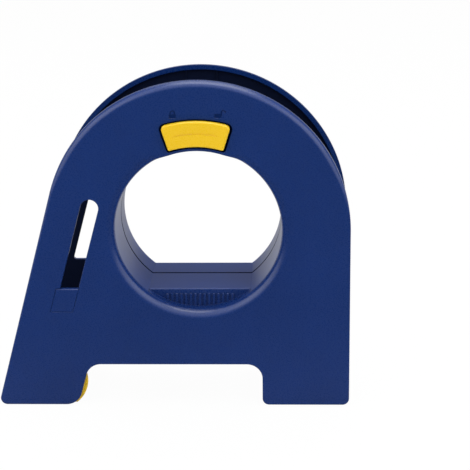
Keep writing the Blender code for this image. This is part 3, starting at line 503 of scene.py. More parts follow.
def rounded(corners):
    """A closed outline from (x, z, radius) corners."""
    points = []
    for i, (x, z, radius) in enumerate(corners):
        before = corners[i - 1][:2]
        after = corners[(i + 1) % len(corners)][:2]
        points += fillet(before, (x, z), after, radius) if radius else [(x, z)]
    return points


def body_outline(inset=0.0):
    """The side plate, drawn in by an inset."""
    bottom = inset - AXIS_HEIGHT
    notch = bottom + NOTCH_HEIGHT
    outer = PLATE_RADIUS - inset
    toe = PLATE_RADIUS - LEG_WIDTH + inset
    inner = FOOT_INNER + inset
    corner = FOOT_CORNER - inset
    dome = arc(0, 0, outer, -EDGE_LEAN, pi - LEG_ANGLE, WIDE_STEP)
    corners = [(x, z, 0) for x, z in dome]
    corners.append((leg_x(outer, bottom), bottom, corner))
    corners.append((leg_x(toe, bottom), bottom, TOE_RADIUS - inset))
    corners.append((leg_x(toe, notch), notch, NOTCH_FILLET + inset))
    corners.append((inner, notch, NOTCH_FILLET + inset))
    corners.append((inner, bottom, corner))
    corners.append((edge_x(bottom, inset), bottom, corner))
    return rounded(corners)


def sector(inner, outer, start, end):
    """A piece of a ring round the hub, its angles from the top, positive to the left."""
    top = pi / 2
    points = arc(0, 0, outer, top + start, top + end, WIDE_STEP)
    return points + arc(0, 0, inner, top + end, top + start, WIDE_STEP)


def cap_outline(inset, grow_low=0.0, grow_sides=0.0):
    """The lock's cap, drawn in by an inset, its four corners rounded."""
    top = pi / 2
    reach = CAP_ANGLE + grow_sides
    outer = CAP_OUTER - inset
    inner = CAP_INNER + inset - grow_low
    wide = max(CAP_TOP_CORNER - inset, CAP_LEAST_CORNER)
    tight = max(CAP_LOW_CORNER - inset, CAP_LEAST_CORNER)
    high = reach - asin((wide + inset) / (outer - wide))
    low = reach - asin((tight + inset) / (inner + tight))
    left = top + reach
    right = top - reach

    def corner(radius, angle, size, start, end):
        middle = polar(0, 0, radius, top + angle)
        return [polar(*middle, size, a) for a in spread(start, end, CAP_FILLET_STEPS)]

    points = arc(0, 0, outer, top - high, top + high, WIDE_STEP)
    points += corner(outer - wide, high, wide, top + high, left + top)[1:]
    points += corner(inner + tight, low, tight, left + top, top + low + pi)
    points += arc(0, 0, inner, top + low, top - low, WIDE_STEP)[1:]
    points += corner(inner + tight, -low, tight, top - low - pi, right - top)[1:]
    return points + corner(outer - wide, -high, wide, right - top, top - high)[:-1]


def circle(x, z, radius, steps):
    return [polar(x, z, radius, 2 * pi * i / steps) for i in range(steps)]


def rectangle(left, right, low, high):
    return [(left, low), (right, low), (right, high), (left, high)]


def leg_band(offset, width, low, high):
    """A stretch along the leg with level ends."""
    near = offset - width / 2
    far = offset + width / 2
    ends = [(far, low), (near, low), (near, high), (far, high)]
    return [(leg_x(side, z), z) for side, z in ends]


def quarter(radius, steps=SOFT_STEPS):
    """(inset, depth) steps of a quarter round, from the face to the side."""
    turns = [pi / 2 * i / steps for i in range(steps + 1)]
    return [(radius * (1 - sin(a)), radius * (1 - cos(a))) for a in turns]


# Solids, placed in the world


def new_object(name, data):
    obj = bpy.data.objects.new(name, data)
    bpy.context.scene.collection.objects.link(obj)
    return obj


def made(name, work):
    """A piece from a bmesh, tidied and facing out."""
    bmesh.ops.remove_doubles(work, verts=work.verts, dist=MERGE)
    bmesh.ops.recalc_face_normals(work, faces=work.faces)
    mesh = bpy.data.meshes.new(name)
    work.to_mesh(mesh)
    work.free()
    return new_object(name, mesh)


def skin(name, loops, ring=False):
    """A solid through loops of as many (x, depth, z) points each, capped or closed to a ring."""
    work = bmesh.new()
    loops = [[work.verts.new(place(*point)) for point in loop] for loop in loops]
    lows = loops[-1:] + loops if ring else loops
    for low, high in zip(lows, loops if ring else loops[1:]):
        for i in range(len(low)):
            work.faces.new((low[i - 1], low[i], high[i], high[i - 1]))
    for loop in [] if ring else [loops[0], loops[-1]]:
        work.faces.new(loop)
    return made(name, work)


def loft(name, rings):
    """A solid through outlines, each given with its depth."""
    return skin(name, [[(x, depth, z) for x, z in outline] for outline, depth in rings])


def prism(name, outline, start, end):
    return loft(name, [(outline, start), (outline, end)])


def cross_prism(name, outline, left, right):
    """An outline in depth and z, between two places across the front."""
    return skin(name, [[(x, depth, z) for depth, z in outline] for x in (left, right)])


def soft_rings(outline_of, start, end, near, far, steps=SOFT_STEPS):
    """Rings of an extruded outline whose two ends are rounded by near and far."""
    way = 1 if end > start else -1
    rings = [(outline_of(0.0), start)]
    if near:
        rings = [(outline_of(inset), start + way * depth) for inset, depth in quarter(near, steps)]
    if not far:
        return rings + [(outline_of(0.0), end)]
    back = [(outline_of(inset), end - way * depth) for inset, depth in quarter(far, steps)]
    return rings + back[::-1]


def revolve(name, profile, x, z, steps, matrix=None):
    """A closed profile of (radius, depth) points turned about the depth."""
    work = bmesh.new()
    rings = []
    for radius, depth in profile:
        if radius:
            spots = circle(x, z, radius, steps)
            rings.append([work.verts.new(place(a, depth, b)) for a, b in spots])
        else:
            rings.append([work.verts.new(place(x, depth, z))])
    for low, high in zip(rings, rings[1:] + rings[:1]):
        if len(low) == len(high) == 1:
            continue
        for i in range(steps):
            corners = [low[i - 1], low[i]] if len(low) > 1 else [low[0]]
            corners += [high[i], high[i - 1]] if len(high) > 1 else [high[0]]
            work.faces.new(corners)
    if matrix:
        work.transform(matrix)
    return made(name, work)


def pin(name, x, z, radius, start, end, steps=ROD_STEPS, soft=0.0):
    """A round bar along the depth, its ends rounded by soft."""
    profile = [(0, start), (radius, start), (radius, end), (0, end)]
    if soft:
        profile = tube_profile(0, radius, start, end, soft)
    return revolve(name, profile, x, z, steps)


def across(x, depth, z):
    """Turns a piece made along the depth at this place so that it lies along +X."""
    middle = place(x, depth, z)
    turn = Matrix.Rotation(-pi / 2, 4, "Z")
    return Matrix.Translation(middle) @ turn @ Matrix.Translation(-middle)


def tube_profile(inner, outer, start, end, soft):
    """The closed profile of a tube with rounded outer edges."""
    ends = quarter(soft)
    profile = [(inner, start)]
    profile += [(outer - inset, start + depth) for inset, depth in ends]
    profile += [(outer - inset, end - depth) for inset, depth in ends[::-1]]
    return profile + [(inner, end)]


def evaluated(obj):
    """The mesh of an object as its modifiers or its curve make it."""
    bpy.context.view_layer.update()
    graph = bpy.context.evaluated_depsgraph_get()
    return bpy.data.meshes.new_from_object(obj.evaluated_get(graph))


def combine(target, other, operation):
    boolean = target.modifiers.new(other.name, "BOOLEAN")
    boolean.operation = operation
    boolean.solver = "EXACT"
    boolean.object = other
    mesh = evaluated(target)
    target.modifiers.clear()
    target.data = mesh
    bpy.data.objects.remove(other)


def cut(target, cutter):
    combine(target, cutter, "DIFFERENCE")


def join(target, other):
    combine(target, other, "UNION")


def finish_piece(obj):
    """Shading, material, the body that carries the piece and the node it stands for."""
    look, body, node = PIECES[obj.name]
    obj.data.materials.clear()
    obj.data.materials.append(bpy.data.materials[look])
    for face in obj.data.polygons:
        face.material_index = 0
    obj.data.shade_smooth()
    obj.data.set_sharp_from_angle(angle=SMOOTH_ANGLE)
    weighted = obj.modifiers.new("flat_faces", "WEIGHTED_NORMAL")
    weighted.keep_sharp = True
    weighted.weight = FLAT_WEIGHT
    if body:
        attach(obj, body)
    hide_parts(node)
    return obj


def within(outline, x, z):
    """Whether a point lies inside a closed outline."""
    odd = False
    for (x0, z0), (x1, z1) in zip(outline, outline[1:] + outline[:1]):
        if (z0 > z) != (z1 > z) and x < x0 + (z - z0) * (x1 - x0) / (z1 - z0):
            odd = not odd
    return odd


def paint(obj, look, chosen):
    """Gives the faces that are chosen a material of their own."""
    index = len(obj.data.materials)
    obj.data.materials.append(bpy.data.materials[look])
    for face in obj.data.polygons:
        if chosen(face):
            face.material_index = index


def face_places(obj, side, face):
    """A face's least depth in its half, and its corners as places across the front."""
    spots = [obj.data.vertices[i].co for i in face.vertices]
    depth = min(from_face(side, spot.y - FRONT_Y) for spot in spots)
    return depth, [(spot.x - HUB_X, spot.z - AXIS_HEIGHT) for spot in spots]


def paint_shade_inside(obj, side, look):
    """Gives the faces between the plates, and the bore's seam, a matt dark blue: painted shade."""
    outline = body_outline(WALL - STEP_OFF)
    bore = BORE_RADIUS + HUB_WALL / 2
    seam = half_depth(side) - SEAM_BEVEL - STEP_OFF

    def inside(face):
        depth, places = face_places(obj, side, face)
        if depth < WALL - STEP_OFF or not all(within(outline, *spot) for spot in places):
            return False
        flat = depth < WALL + STEP_OFF and abs(face.normal.y) > cos(SMOOTH_ANGLE)
        return depth > seam or flat or min(hypot(*spot) for spot in places) > bore

    paint(obj, look, inside)


def paint_light_in_bore(obj, side, look):
    """Gives the bore's wall and floor, up to the seam, a lighter blue: painted light."""
    seam = half_depth(side) - SEAM_BEVEL - STEP_OFF

    def lining(face):
        depth, places = face_places(obj, side, face)
        wide = max(hypot(*spot) for spot in places) < BORE_RADIUS + STEP_OFF
        return wide and depth < seam and min(z for _, z in places) > -FLOOR_DROP - STEP_OFF

    paint(obj, look, lining)


def paint_shade_at_depth(obj, look, depth):
    """Gives the floors of shallow marks, which lie at a depth, a darker material: painted shade.
    """
    level = place(0, depth, 0).y
    paint(obj, look, lambda face: abs(face.center.y - level) < MERGE)


# Materials


def feed(tree, node, fed):
    """Gives a node's inputs, by name or in order, values or links to other nodes' outputs."""
    for name, source in fed.items() if isinstance(fed, dict) else enumerate(fed):
        if isinstance(source, bpy.types.NodeSocket):
            tree.links.new(source, node.inputs[name])
        else:
            node.inputs[name].default_value = source


def add_node(tree, kind, fed, output=0, **settings):
    """A node with its inputs fed; gives back one of its outputs."""
    node = tree.nodes.new("ShaderNode" + kind)
    for name, value in settings.items():
        setattr(node, name, value)
    feed(tree, node, fed)
    return node.outputs[output]


def noise(tree, spot, scale, detail):
    return add_node(tree, "TexNoise", {"Vector": spot, "Scale": scale, "Detail": detail})


def new_material(name):
    material = bpy.data.materials.new(name)
    material.use_nodes = True
    return material, material.node_tree, material.node_tree.nodes["Principled BSDF"]


def two_tones(tree, source, low, high, ends=(0, 1)):
    """A colour between two tones, by a texture."""
    node = tree.nodes.new("ShaderNodeValToRGB")
    for stop, position, colour in zip(node.color_ramp.elements, ends, (low, high)):
        stop.position = position
        stop.color = (*colour, 1)
    tree.links.new(source, node.inputs["Fac"])
    return node.outputs["Color"]


def gloss_between(tree, source, low, high):
    return add_node(tree, "MapRange", {"Value": source, "To Min": low, "To Max": high})


def axis_of(tree, spot, axis):
    return add_node(tree, "SeparateXYZ", {"Vector": spot}, axis)


def fading(tree, source, ends, values=(0, 1)):
    """A smooth change from one value to another, between two places."""
    fed = {"Value": source, "From Min": ends[0], "From Max": ends[1]}
    fed.update({"To Min": values[0], "To Max": values[1]})
    return add_node(tree, "MapRange", fed, interpolation_type="SMOOTHSTEP")


def bumped(tree, height, strength, distance, bevel=0.0):
    """A surface raised by a texture, over edges softened by a bevel."""
    fed = {"Height": height, "Strength": strength, "Distance": distance}
    if bevel:
        fed["Normal"] = add_node(tree, "Bevel", {"Radius": bevel}, samples=BEVEL_SAMPLES)
    return add_node(tree, "Bump", fed)


def plastic(name, colour, roughness, shift, grain, specular):
    """Moulded plastic: a fine spark-eroded grain, slow changes of tone and soft edges."""
    _, tree, shader = new_material(name)
    spot = add_node(tree, "TexCoord", {}, "Object")
    slow = noise(tree, spot, *SLOW_NOISE)
    fine = noise(tree, spot, *FINE_NOISE)
    cells = add_node(tree, "TexVoronoi", {"Vector": spot, "Scale": CELL_SCALE})
    height = add_node(tree, "Math", (fine, cells), operation="ADD")
    tones = (shade(colour, 1 - shift), shade(colour, 1 + shift))
    gloss = (roughness - GLOSS_SPREAD, roughness + GLOSS_SPREAD)
    looks = {
        "Base Color": two_tones(tree, slow, *tones, TONE_ENDS),
        "Roughness": gloss_between(tree, fine, *gloss),
        "Normal": bumped(tree, height, grain, PLASTIC_BUMP, PLASTIC_BEVEL),
        "Specular IOR Level": specular,
    }
    feed(tree, shader, looks)


def steel(name, stretch, roughness):
    """Bright steel with fine drawing lines along one axis."""
    _, tree, shader = new_material(name)
    spot = add_node(tree, "TexCoord", {}, "Object")
    drawn = add_node(tree, "Mapping", {"Vector": spot, "Scale": stretch})
    lines = noise(tree, drawn, *STEEL_NOISE)
    less, more = STEEL_GLOSS_SPREAD
    looks = {
        "Base Color": two_tones(tree, lines, shade(STEEL, STEEL_DARK), STEEL),
        "Roughness": gloss_between(tree, lines, roughness - less, roughness + more),
        "Normal": bumped(tree, lines, STEEL_GRAIN, STEEL_BUMP, STEEL_BEVEL),
        "Metallic": 1.0,
    }
    feed(tree, shader, looks)


def rubber(name):
    """Ground rubber: matt, with fine rings and a coarse speckle."""
    _, tree, shader = new_material(name)
    spot = add_node(tree, "TexCoord", {}, "Object")
    turned = add_node(tree, "Mapping", {"Vector": spot, "Scale": RING_STRETCH})
    rings = noise(tree, turned, *RING_NOISE)
    speckle = noise(tree, spot, *SPECKLE_NOISE)
    height = add_node(tree, "Math", (rings, speckle), operation="ADD")
    dark, light = RUBBER_TONES
    looks = {
        "Base Color": two_tones(tree, speckle, shade(RUBBER, dark), shade(RUBBER, light)),
        "Roughness": RUBBER_ROUGHNESS,
        "Normal": bumped(tree, height, RUBBER_GRAIN, RUBBER_BUMP),
    }
    feed(tree, shader, looks)


# Side shells


def edge_share(z):
    """How much of the edge's fillet a height has: all of it on the dome, little below."""
    return eased(EDGE_LEAST, 1, (z - EDGE_LOW) / (EDGE_HIGH - EDGE_LOW))


def plate_loops(side):
    """Loops from the plate's face over its rounded edge to where the halves meet."""
    full = body_outline()
    drawn = body_outline(EDGE_FILLET)
    loops = []
    for inset, depth in quarter(EDGE_FILLET, EDGE_STEPS):
        loop = []
        for (x, z), (inner_x, inner_z) in zip(full, drawn):
            share = edge_share(z)
            way = share * inset / EDGE_FILLET
            spot = (x + (inner_x - x) * way, z + (inner_z - z) * way)
            loop.append((spot[0], from_face(side, share * depth), spot[1]))
        loops.append(loop)
    return loops + [[(x, from_face(side, half_depth(side)), z) for x, z in full]]


def dish(side, name):
    """A dished plate with a rounded outer edge, a rim, and deep walls round the feet."""
    inside = from_face(side, WALL)
    rim = from_face(side, RIM_DEPTH)
    beyond = from_face(side, half_depth(side) + OVERRUN)
    shell = skin(name, plate_loops(side))
    cut(shell, prism("pocket", body_outline(WALL), inside, beyond))
    far = 2 * PLATE_RADIUS
    toe_opening = PRESS_AXIS[0] - PRESS_RADIUS - TOE_CLEARANCE
    opening = [
        (toe_opening + WALL, up(LEG_WALL_HEIGHT)),
        (-far, up(LEG_WALL_HEIGHT)),
        (-far, far),
        (far, far),
        (far, up(FOOT_WALL_HEIGHT)),
        (FOOT_INNER - WALL, up(FOOT_WALL_HEIGHT)),
        (FOOT_INNER - WALL, -far),
        (toe_opening, -far),
    ]
    cut(shell, prism("open_sides", opening, rim, beyond))
    low = -AXIS_HEIGHT - OVERRUN
    toe = rectangle(toe_opening, LEG_WIDTH - PLATE_RADIUS, low, up(GUARD_WAY_HEIGHT))
    cut(shell, prism("guard_way", toe, inside, beyond))
    return shell


def d_outline(grow=0.0):
    """The hand hole behind its ribbed face: a circle with a level floor."""
    low = asin((FLOOR_DROP + grow) / (BORE_RADIUS + grow))
    return arc(0, 0, BORE_RADIUS + grow, -low, pi + low, WIDE_STEP)


def segment_outline(drop, raised):
    """The space between the floor, or a line below it, and the bore."""
    low = asin(drop / BORE_RADIUS)
    points = arc(0, 0, BORE_RADIUS, pi + low, 2 * pi - low, WIDE_STEP)
    return points + [(points[-1][0], raised - drop), (points[0][0], raised - drop)]


def flare_size(side, angle):
    """How far the bore's mouth flares: hardly at all in front, under the lock's cap."""
    if side == REAR:
        return REAR_FLARE
    turned = abs(remainder(angle - pi / 2, 2 * pi))
    return eased(FLARE_LEAST, FLARE, (turned - SEAT_ANGLE) / FLARE_BLEND)


def flare_cutter(side):
    """Rounds the mouth of the bore."""
    loops = []
    for i in range(HUB_STEPS):
        angle = 2 * pi * i / HUB_STEPS
        size = flare_size(side, angle)
        profile = [(BORE_RADIUS / 2, -OVERRUN), (BORE_RADIUS + size, -OVERRUN)]
        profile += [(BORE_RADIUS + inset, depth) for inset, depth in quarter(size, FLARE_STEPS)]
        profile.append((BORE_RADIUS / 2, size))
        spots = [(*polar(0, 0, radius, angle), from_face(side, t)) for radius, t in profile]
        loops.append([(x, depth, z) for x, z, depth in spots])
    return skin("flare", loops, ring=True)


def lip_cutter():
    """Rounds the floor's front edge."""
    edge = [(FLOOR_SETBACK + depth, -FLOOR_DROP - inset) for inset, depth in quarter(FLOOR_ROUND)]
    before = FLOOR_SETBACK - SINK
    above = OVERRUN - FLOOR_DROP
    outline = [(before, above), (before, edge[0][1])] + edge + [(edge[-1][0], above)]
    lip = cross_prism("lip", outline, -BORE_RADIUS, BORE_RADIUS)
    depths = (FLOOR_SETBACK - OVERRUN, 2 * FLOOR_SETBACK)
    combine(lip, pin("around", 0, 0, BORE_RADIUS, *depths, HUB_STEPS), "INTERSECT")
    return lip


def add_hub(shell, side):
    """The hub's half, bored to the hand hole and hollow under its floor."""
    outer = BORE_RADIUS + HUB_WALL
    meeting = from_face(side, half_depth(side))
    beyond = from_face(side, half_depth(side) + OVERRUN)
    before = from_face(side, -OVERRUN)
    join(shell, pin("hub", 0, 0, outer, from_face(side, WALL - SINK), meeting, HUB_STEPS))
    cut(shell, prism("hand_hole", d_outline(), before, beyond))
    setback = FLOOR_SETBACK if side == FRONT else WALL
    if side == FRONT:
        cut(shell, prism("mouth", segment_outline(FLOOR_DROP, OVERRUN), before, FLOOR_SETBACK))
        cut(shell, lip_cutter())
    hollow_from = from_face(side, setback + FLOOR_WALL)
    hollow = segment_outline(FLOOR_DROP + FLOOR_WALL, 0)
    cut(shell, prism("under_floor", hollow, hollow_from, beyond))


def bevel_seam(shell, side):
    """Bevels the bore's edge where the halves meet."""
    meeting = half_depth(side)
    rings = [(d_outline(SEAM_BEVEL), meeting + OVERRUN), (d_outline(SEAM_BEVEL), meeting)]
    rings.append((d_outline(-STEP_OFF), meeting - SEAM_BEVEL - STEP_OFF))
    cut(shell, loft("seam", [(outline, from_face(side, depth)) for outline, depth in rings]))


def add_grip_ribs(shell):
    """Upright round-backed ribs on the face below the floor."""
    top = -FLOOR_DROP - RIB_MARGIN
    for i in range(RIB_COUNT):
        x = (i - (RIB_COUNT - 1) / 2) * RIB_PITCH
        far = abs(x) + RIB_WIDTH / 2
        low = -sqrt(BORE_RADIUS**2 - far**2) - SINK

        def rib(inset, x=x, low=low):
            half = RIB_WIDTH / 2 - inset
            return rectangle(x - half, x + half, low, top - inset)

        ends = (FLOOR_SETBACK - RIB_PROUD, FLOOR_SETBACK + SINK)
        join(shell, loft("rib", soft_rings(rib, *ends, GAP, 0)))


def add_lock_ways(shell, side):
    """Room for the latch to swing in the hub's wall, and on the front for its stem."""
    inner = BORE_RADIUS - OVERRUN
    outer = BORE_RADIUS + HUB_WALL + OVERRUN
    swing = TONGUE_ANGLE + LOCK_SWING + LOCK_MARGIN
    if side == FRONT:
        way = sector(inner, outer, -swing, swing)
        cut(shell, prism("way", way, SKIN + STEP_OFF, PARTING + OVERRUN))
        wide = swing + LOCK_MARGIN
        recess = sector(BORE_RADIUS + HUB_WALL / 2, STEM_OUTER + 3 * GAP, -wide, wide)
        cut(shell, prism("recess", recess, SKIN, WALL + OVERRUN))
        reach = STEM_ANGLE + LOCK_SWING + LOCK_MARGIN
        window = sector(STEM_INNER - GAP, STEM_OUTER + GAP, -reach, reach)
        cut(shell, prism("window", window, -OVERRUN, WALL))
        return
    mouth = sector(inner, outer, -swing, max(swing, LUG_ANGLE + LOCK_MARGIN))
    lug_face = TONGUE_TIP - LUG_LENGTH - GAP
    cut(shell, prism("mouth", mouth, PARTING - OVERRUN, lug_face + OVERRUN))
    wide = LUG_ANGLE + LOCK_SWING + LOCK_MARGIN
    room = sector(inner, outer, -swing - LOCK_MARGIN, wide)
    cut(shell, prism("room", room, lug_face, TONGUE_TIP + 2 * GAP))


def add_trench(shell):
    """A shallow trench round the cap's seat."""
    around = cap_outline(-CAP_TRENCH, CAP_LOW_TRENCH - CAP_TRENCH, CAP_SIDE_TRENCH)
    trench = prism("trench", around, -OVERRUN, CAP_TRENCH_DEPTH)
    island = cap_outline(CAP_TRENCH / 2)
    cut(trench, prism("island", island, -2 * OVERRUN, 2 * CAP_TRENCH_DEPTH))
    cut(shell, trench)


def slot_outline(side, grow=0.0):
    """The sight slot, grown all round."""
    middle = band(SLOT_SHARE)
    left = middle + SLOT_WIDTH / 2 + grow
    right = middle - SLOT_WIDTH / 2 - grow
    low = up(SLOT_FOOT_HEIGHT) - (TAB_SLIT if side == FRONT else grow)
    x = leg_x(middle, SLOT_TOP)
    slot = arc(x, SLOT_TOP, SLOT_WIDTH / 2 + grow, -LEG_ANGLE, pi - LEG_ANGLE)
    first = slot[0]
    last = slot[-1]
    corners = [(leg_x(left, low), low), (leg_x(right, low), low)]
    if side == FRONT:
        return slot + corners
    slot += fillet(last, corners[0], corners[1], SLOT_CORNER + grow)
    return slot + fillet(corners[0], corners[1], first, SLOT_CORNER + grow)


def flared(outline_of, side, size):
    """Rings of a cutter that passes one plate and rounds its outer edge."""
    rings = [(outline_of(size), from_face(side, -OVERRUN))]
    rings += [(outline_of(inset), from_face(side, depth)) for inset, depth in quarter(size)]
    return rings + [(outline_of(0), from_face(side, WALL + OVERRUN))]


def tab_pivot():
    """The middle of the tab's trunnion: (x, depth, z)."""
    z = up(SLOT_FOOT_HEIGHT) - TAB_LENGTH + TAB_PIVOT_RISE
    return leg_x(band(TAB_SHARE), z), WALL + GAP + TRUNNION_RADIUS, z


def ear_offset():
    """How far from the trunnion's middle the ears start, clear of the slanted tab."""
    slit = (TAB_WIDTH / 2 + TAB_SLIT) / cos(LEG_ANGLE)
    return slit + (TRUNNION_RADIUS + EAR_MARGIN) * tan(LEG_ANGLE) + STEP_OFF


def add_slot(shell, side):
    cut(shell, loft("slot", flared(lambda grow: slot_outline(side, grow), side, SLOT_ROUND)))


def lengthwise(name, profile, x, depth, z):
    """A turned piece that lies along +X, its profile's lengths given from its middle."""
    profile = [(radius, depth + along) for radius, along in profile]
    return revolve(name, profile, x, z, ROD_STEPS, across(x, depth, z))


def add_tab_seat(shell):
    """The tab's window, two ears for its trunnion and a pad with a peg for its spring."""
    high = up(SLOT_FOOT_HEIGHT)
    bottom = high - TAB_LENGTH - (TAB_SLIT + TAB_SEAM) / 2

    def window(grow):
        width = TAB_WIDTH + TAB_SLIT + TAB_SEAM + 2 * grow
        return leg_band(band(TAB_SHARE), width, bottom - grow, high + GAP)

    cut(shell, loft("tab_window", flared(window, FRONT, TAB_ROUND * TAB_SIDE_SHARE)))
    x, depth, z = tab_pivot()
    half = ear_offset()
    high = TRUNNION_RADIUS + EAR_MARGIN
    for way in (-1, 1):
        near = x + way * half
        far = near + way * EAR_WIDTH
        ear = rectangle(min(near, far), max(near, far), z - high, z + high)
        join(shell, prism("ear", ear, WALL - SINK, depth + high))
    reach = half + EAR_WIDTH + OVERRUN
    bore = TRUNNION_RADIUS + GAP
    profile = [(0, -reach), (bore, -reach), (bore, reach), (0, reach)]
    cut(shell, lengthwise("bore", profile, x, depth, z))
    foot_high = z - LEAF_DROP
    foot_low = foot_high - LEAF_FOOT
    pad = rectangle(x - LEAF_WIDTH / 2, x + LEAF_WIDTH / 2, foot_low, foot_high)
    join(shell, prism("pad", pad, WALL - SINK, LEAF_SEAT))
    middle = (foot_low + foot_high) / 2
    top = LEAF_SEAT + LEAF_THICKNESS + 3 * GAP
    join(shell, pin("leaf_peg", x, middle, LEAF_PEG_RADIUS, LEAF_SEAT - SINK, top, soft=GAP))


def from_guard(right, drop):
    """A place given from the guard's pivot."""
    return GUARD_AXIS[0] + right, GUARD_AXIS[1] - drop


def add_boss(shell, side, x, z, boss, axle):
    """A round boss on the plate's inner face, with a blind hole for an axle's end."""
    start = from_face(side, WALL - SINK)
    join(shell, pin("boss", x, z, boss, start, from_face(side, WALL + BOSS_REACH)))
    end = from_face(side, WALL + BOSS_REACH + OVERRUN)
    cut(shell, pin("hole", x, z, axle + GAP, from_face(side, AXLE_SEAT), end))


def cheek_outline(inset=0.0):
    """From the pivot's eye down to a lobe in front of the blade, full at its lower corner."""
    points = arc(*GUARD_AXIS, GUARD_EYE - inset, *EYE_ANGLES)
    x, z = from_guard(LOBE_ACROSS, LOBE_DROP)
    wider = BELLY_RADIUS - LOBE_RADIUS
    belly = polar(x, z, -wider, BELLY_ANGLE)
    foot = asin((wider * sin(BELLY_ANGLE) - LOBE_RADIUS) / BELLY_RADIUS)
    start, end = LOBE_ANGLES
    points += arc(x, z, LOBE_RADIUS - inset, start, BELLY_ANGLE, WIDE_STEP)
    points += arc(*belly, BELLY_RADIUS - inset, BELLY_ANGLE, foot, WIDE_STEP)[1:]
    return points + arc(x, z, LOBE_RADIUS - inset, -pi / 2, end, WIDE_STEP)


def stop_place():
    """The peg that the guard's upper edge rests against."""
    eye = arc(*GUARD_AXIS, GUARD_EYE, *EYE_ANGLES)[-1]
    lobe = arc(*from_guard(LOBE_ACROSS, LOBE_DROP), LOBE_RADIUS, *LOBE_ANGLES)[0]
    along = (Vector(lobe) - Vector(eye)).normalized()
    outward = Vector((-along.y, along.x))
    return (Vector(eye) + Vector(lobe)) / 2 + outward * (STOP_RADIUS + GAP)


def add_head_mounts(shell, side):
    """Bosses and pegs for the rollers, the guard, its spring and the blade's holder."""
    add_boss(shell, side, *PRESS_AXIS, PRESS_BOSS_RADIUS, PRESS_AXLE_RADIUS)
    add_boss(shell, side, *GUIDE_AXIS, GUIDE_BOSS_RADIUS, GUIDE_AXLE_RADIUS)
    add_boss(shell, side, *GUARD_AXIS, GUARD_BOSS_RADIUS, GUARD_PIN_RADIUS)
    start = from_face(side, WALL - SINK)
    join(shell, pin("stop", *stop_place(), STOP_RADIUS, start, from_face(side, STOP_TIP)))
    reach = from_face(side, WALL + GAP + PEG_REACH)
    middle = BLADE_LEFT + BLADE_THICKNESS + GAP + HOLDER_WIDTH / 2
    for x in (middle - PEG_SPACING / 2, middle + PEG_SPACING / 2):
        join(shell, pin("peg", x, HOLDER_MIDDLE, PEG_RADIUS, start, reach))
    if side == FRONT:
        peg = from_guard(-SPRING_PEG_ACROSS, SPRING_PEG_DROP)
        join(shell, pin("spring_peg", *peg, SPRING_PEG_RADIUS, start, SPRING_PEG_TIP))


def add_posts(shell, side):
    """Posts that reach to the parting line: sockets in front, pins behind."""
    start = from_face(side, WALL - SINK)
    meeting = from_face(side, half_depth(side))
    posts = [(PLATE_RADIUS - inset, up(height)) for inset, height in EDGE_POSTS]
    posts.append((toe_x(TOE_POST[0]), up(TOE_POST[1])))
    for x, z in posts:
        join(shell, pin("post", x, z, POST_RADIUS, start, meeting))
        if side == FRONT:
            deep = PARTING - POST_PIN_REACH - 2 * GAP
            hole = POST_PIN_RADIUS + GAP
            cut(shell, pin("socket", x, z, hole, deep, PARTING + OVERRUN))
        else:
            tip = PARTING - POST_PIN_REACH
            join(shell, pin("spigot", x, z, POST_PIN_RADIUS, tip, PARTING + OVERRUN, soft=GAP))


def add_inner_lines(shell):
    """Two low ribs down the rear plate's inner face."""
    for x in LINE_X:
        low = BORE_RADIUS + HUB_WALL - SINK
        line = rectangle(x - LINE_WIDTH / 2, x + LINE_WIDTH / 2, low, PLATE_RADIUS - WALL)
        inside = from_face(REAR, WALL - SINK)
        join(shell, prism("line", line, inside, from_face(REAR, WALL + LINE_HEIGHT)))


def lock_marks():
    """Outlines of a shut and an open padlock."""
    width, height = MARK_BODY
    marks = []
    for (x, z), swung in ((CLOSED_MARK, False), (OPEN_MARK, True)):
        marks.append(rectangle(x - width / 2, x + width / 2, z - height / 2, z + height / 2))
        top = z + height / 2
        middle = x + (width / 2 + SHACKLE_RADIUS if swung else 0)
        wide = SHACKLE_RADIUS + MARK_STROKE / 2
        tight = SHACKLE_RADIUS - MARK_STROKE / 2
        foot = top - (height / 2 if swung else STEP_OFF)
        shackle = arc(middle, top + SHACKLE_LEG, wide, 0, pi)
        shackle += [(middle - wide, foot), (middle - tight, foot)]
        shackle += arc(middle, top + SHACKLE_LEG, tight, pi, 0)
        if not swung:
            shackle += [(middle + tight, foot), (middle + wide, foot)]
        marks.append(shackle)
    return marks


def ring_mark(x, z, radius):
    """A shallow round groove in the front face, such as an ejector leaves."""
    outer = radius + MARK_STROKE / 2
    inner = radius - MARK_STROKE / 2
    profile = [(inner, -OVERRUN), (outer, -OVERRUN), (outer, 0), (radius, FOOT_MARK_DEPTH)]
    return revolve("ring_mark", profile + [(inner, 0)], x, z, ROD_STEPS)


def build_shell(side):
    """One moulded half, with painted shade inside, painted light in the bore, painted shade in the
    marks and a painted shadow in the cap's trench.
    """
    shell = dish(side, side + "_moulding")
    add_hub(shell, side)
    cut(shell, flare_cutter(side))
    bevel_seam(shell, side)
    if side == FRONT:
        add_grip_ribs(shell)
    add_lock_ways(shell, side)
    add_slot(shell, side)
    if side == FRONT:
        add_tab_seat(shell)
    else:
        add_inner_lines(shell)
    add_head_mounts(shell, side)
    add_posts(shell, side)
    if side == FRONT:
        for mark in lock_marks():
            cut(shell, prism("mark", mark, -OVERRUN, MARK_DEPTH))
        add_trench(shell)
        cut(shell, ring_mark(*FOOT_MARK, FOOT_MARK_RADIUS))
    finish_piece(shell)
    # Painted shade on the faces between the plates
    paint_shade_inside(shell, side, "blue_inside")
    # Painted light on the bore's wall and floor
    paint_light_in_bore(shell, side, "blue_bore")
    if side == FRONT:
        # Painted shade on the marks' floors and a painted shadow in the cap's trench
        paint_shade_at_depth(shell, "blue_mark", MARK_DEPTH)
        paint_shade_at_depth(shell, "blue_recess", CAP_TRENCH_DEPTH)


# Lock and brake tab


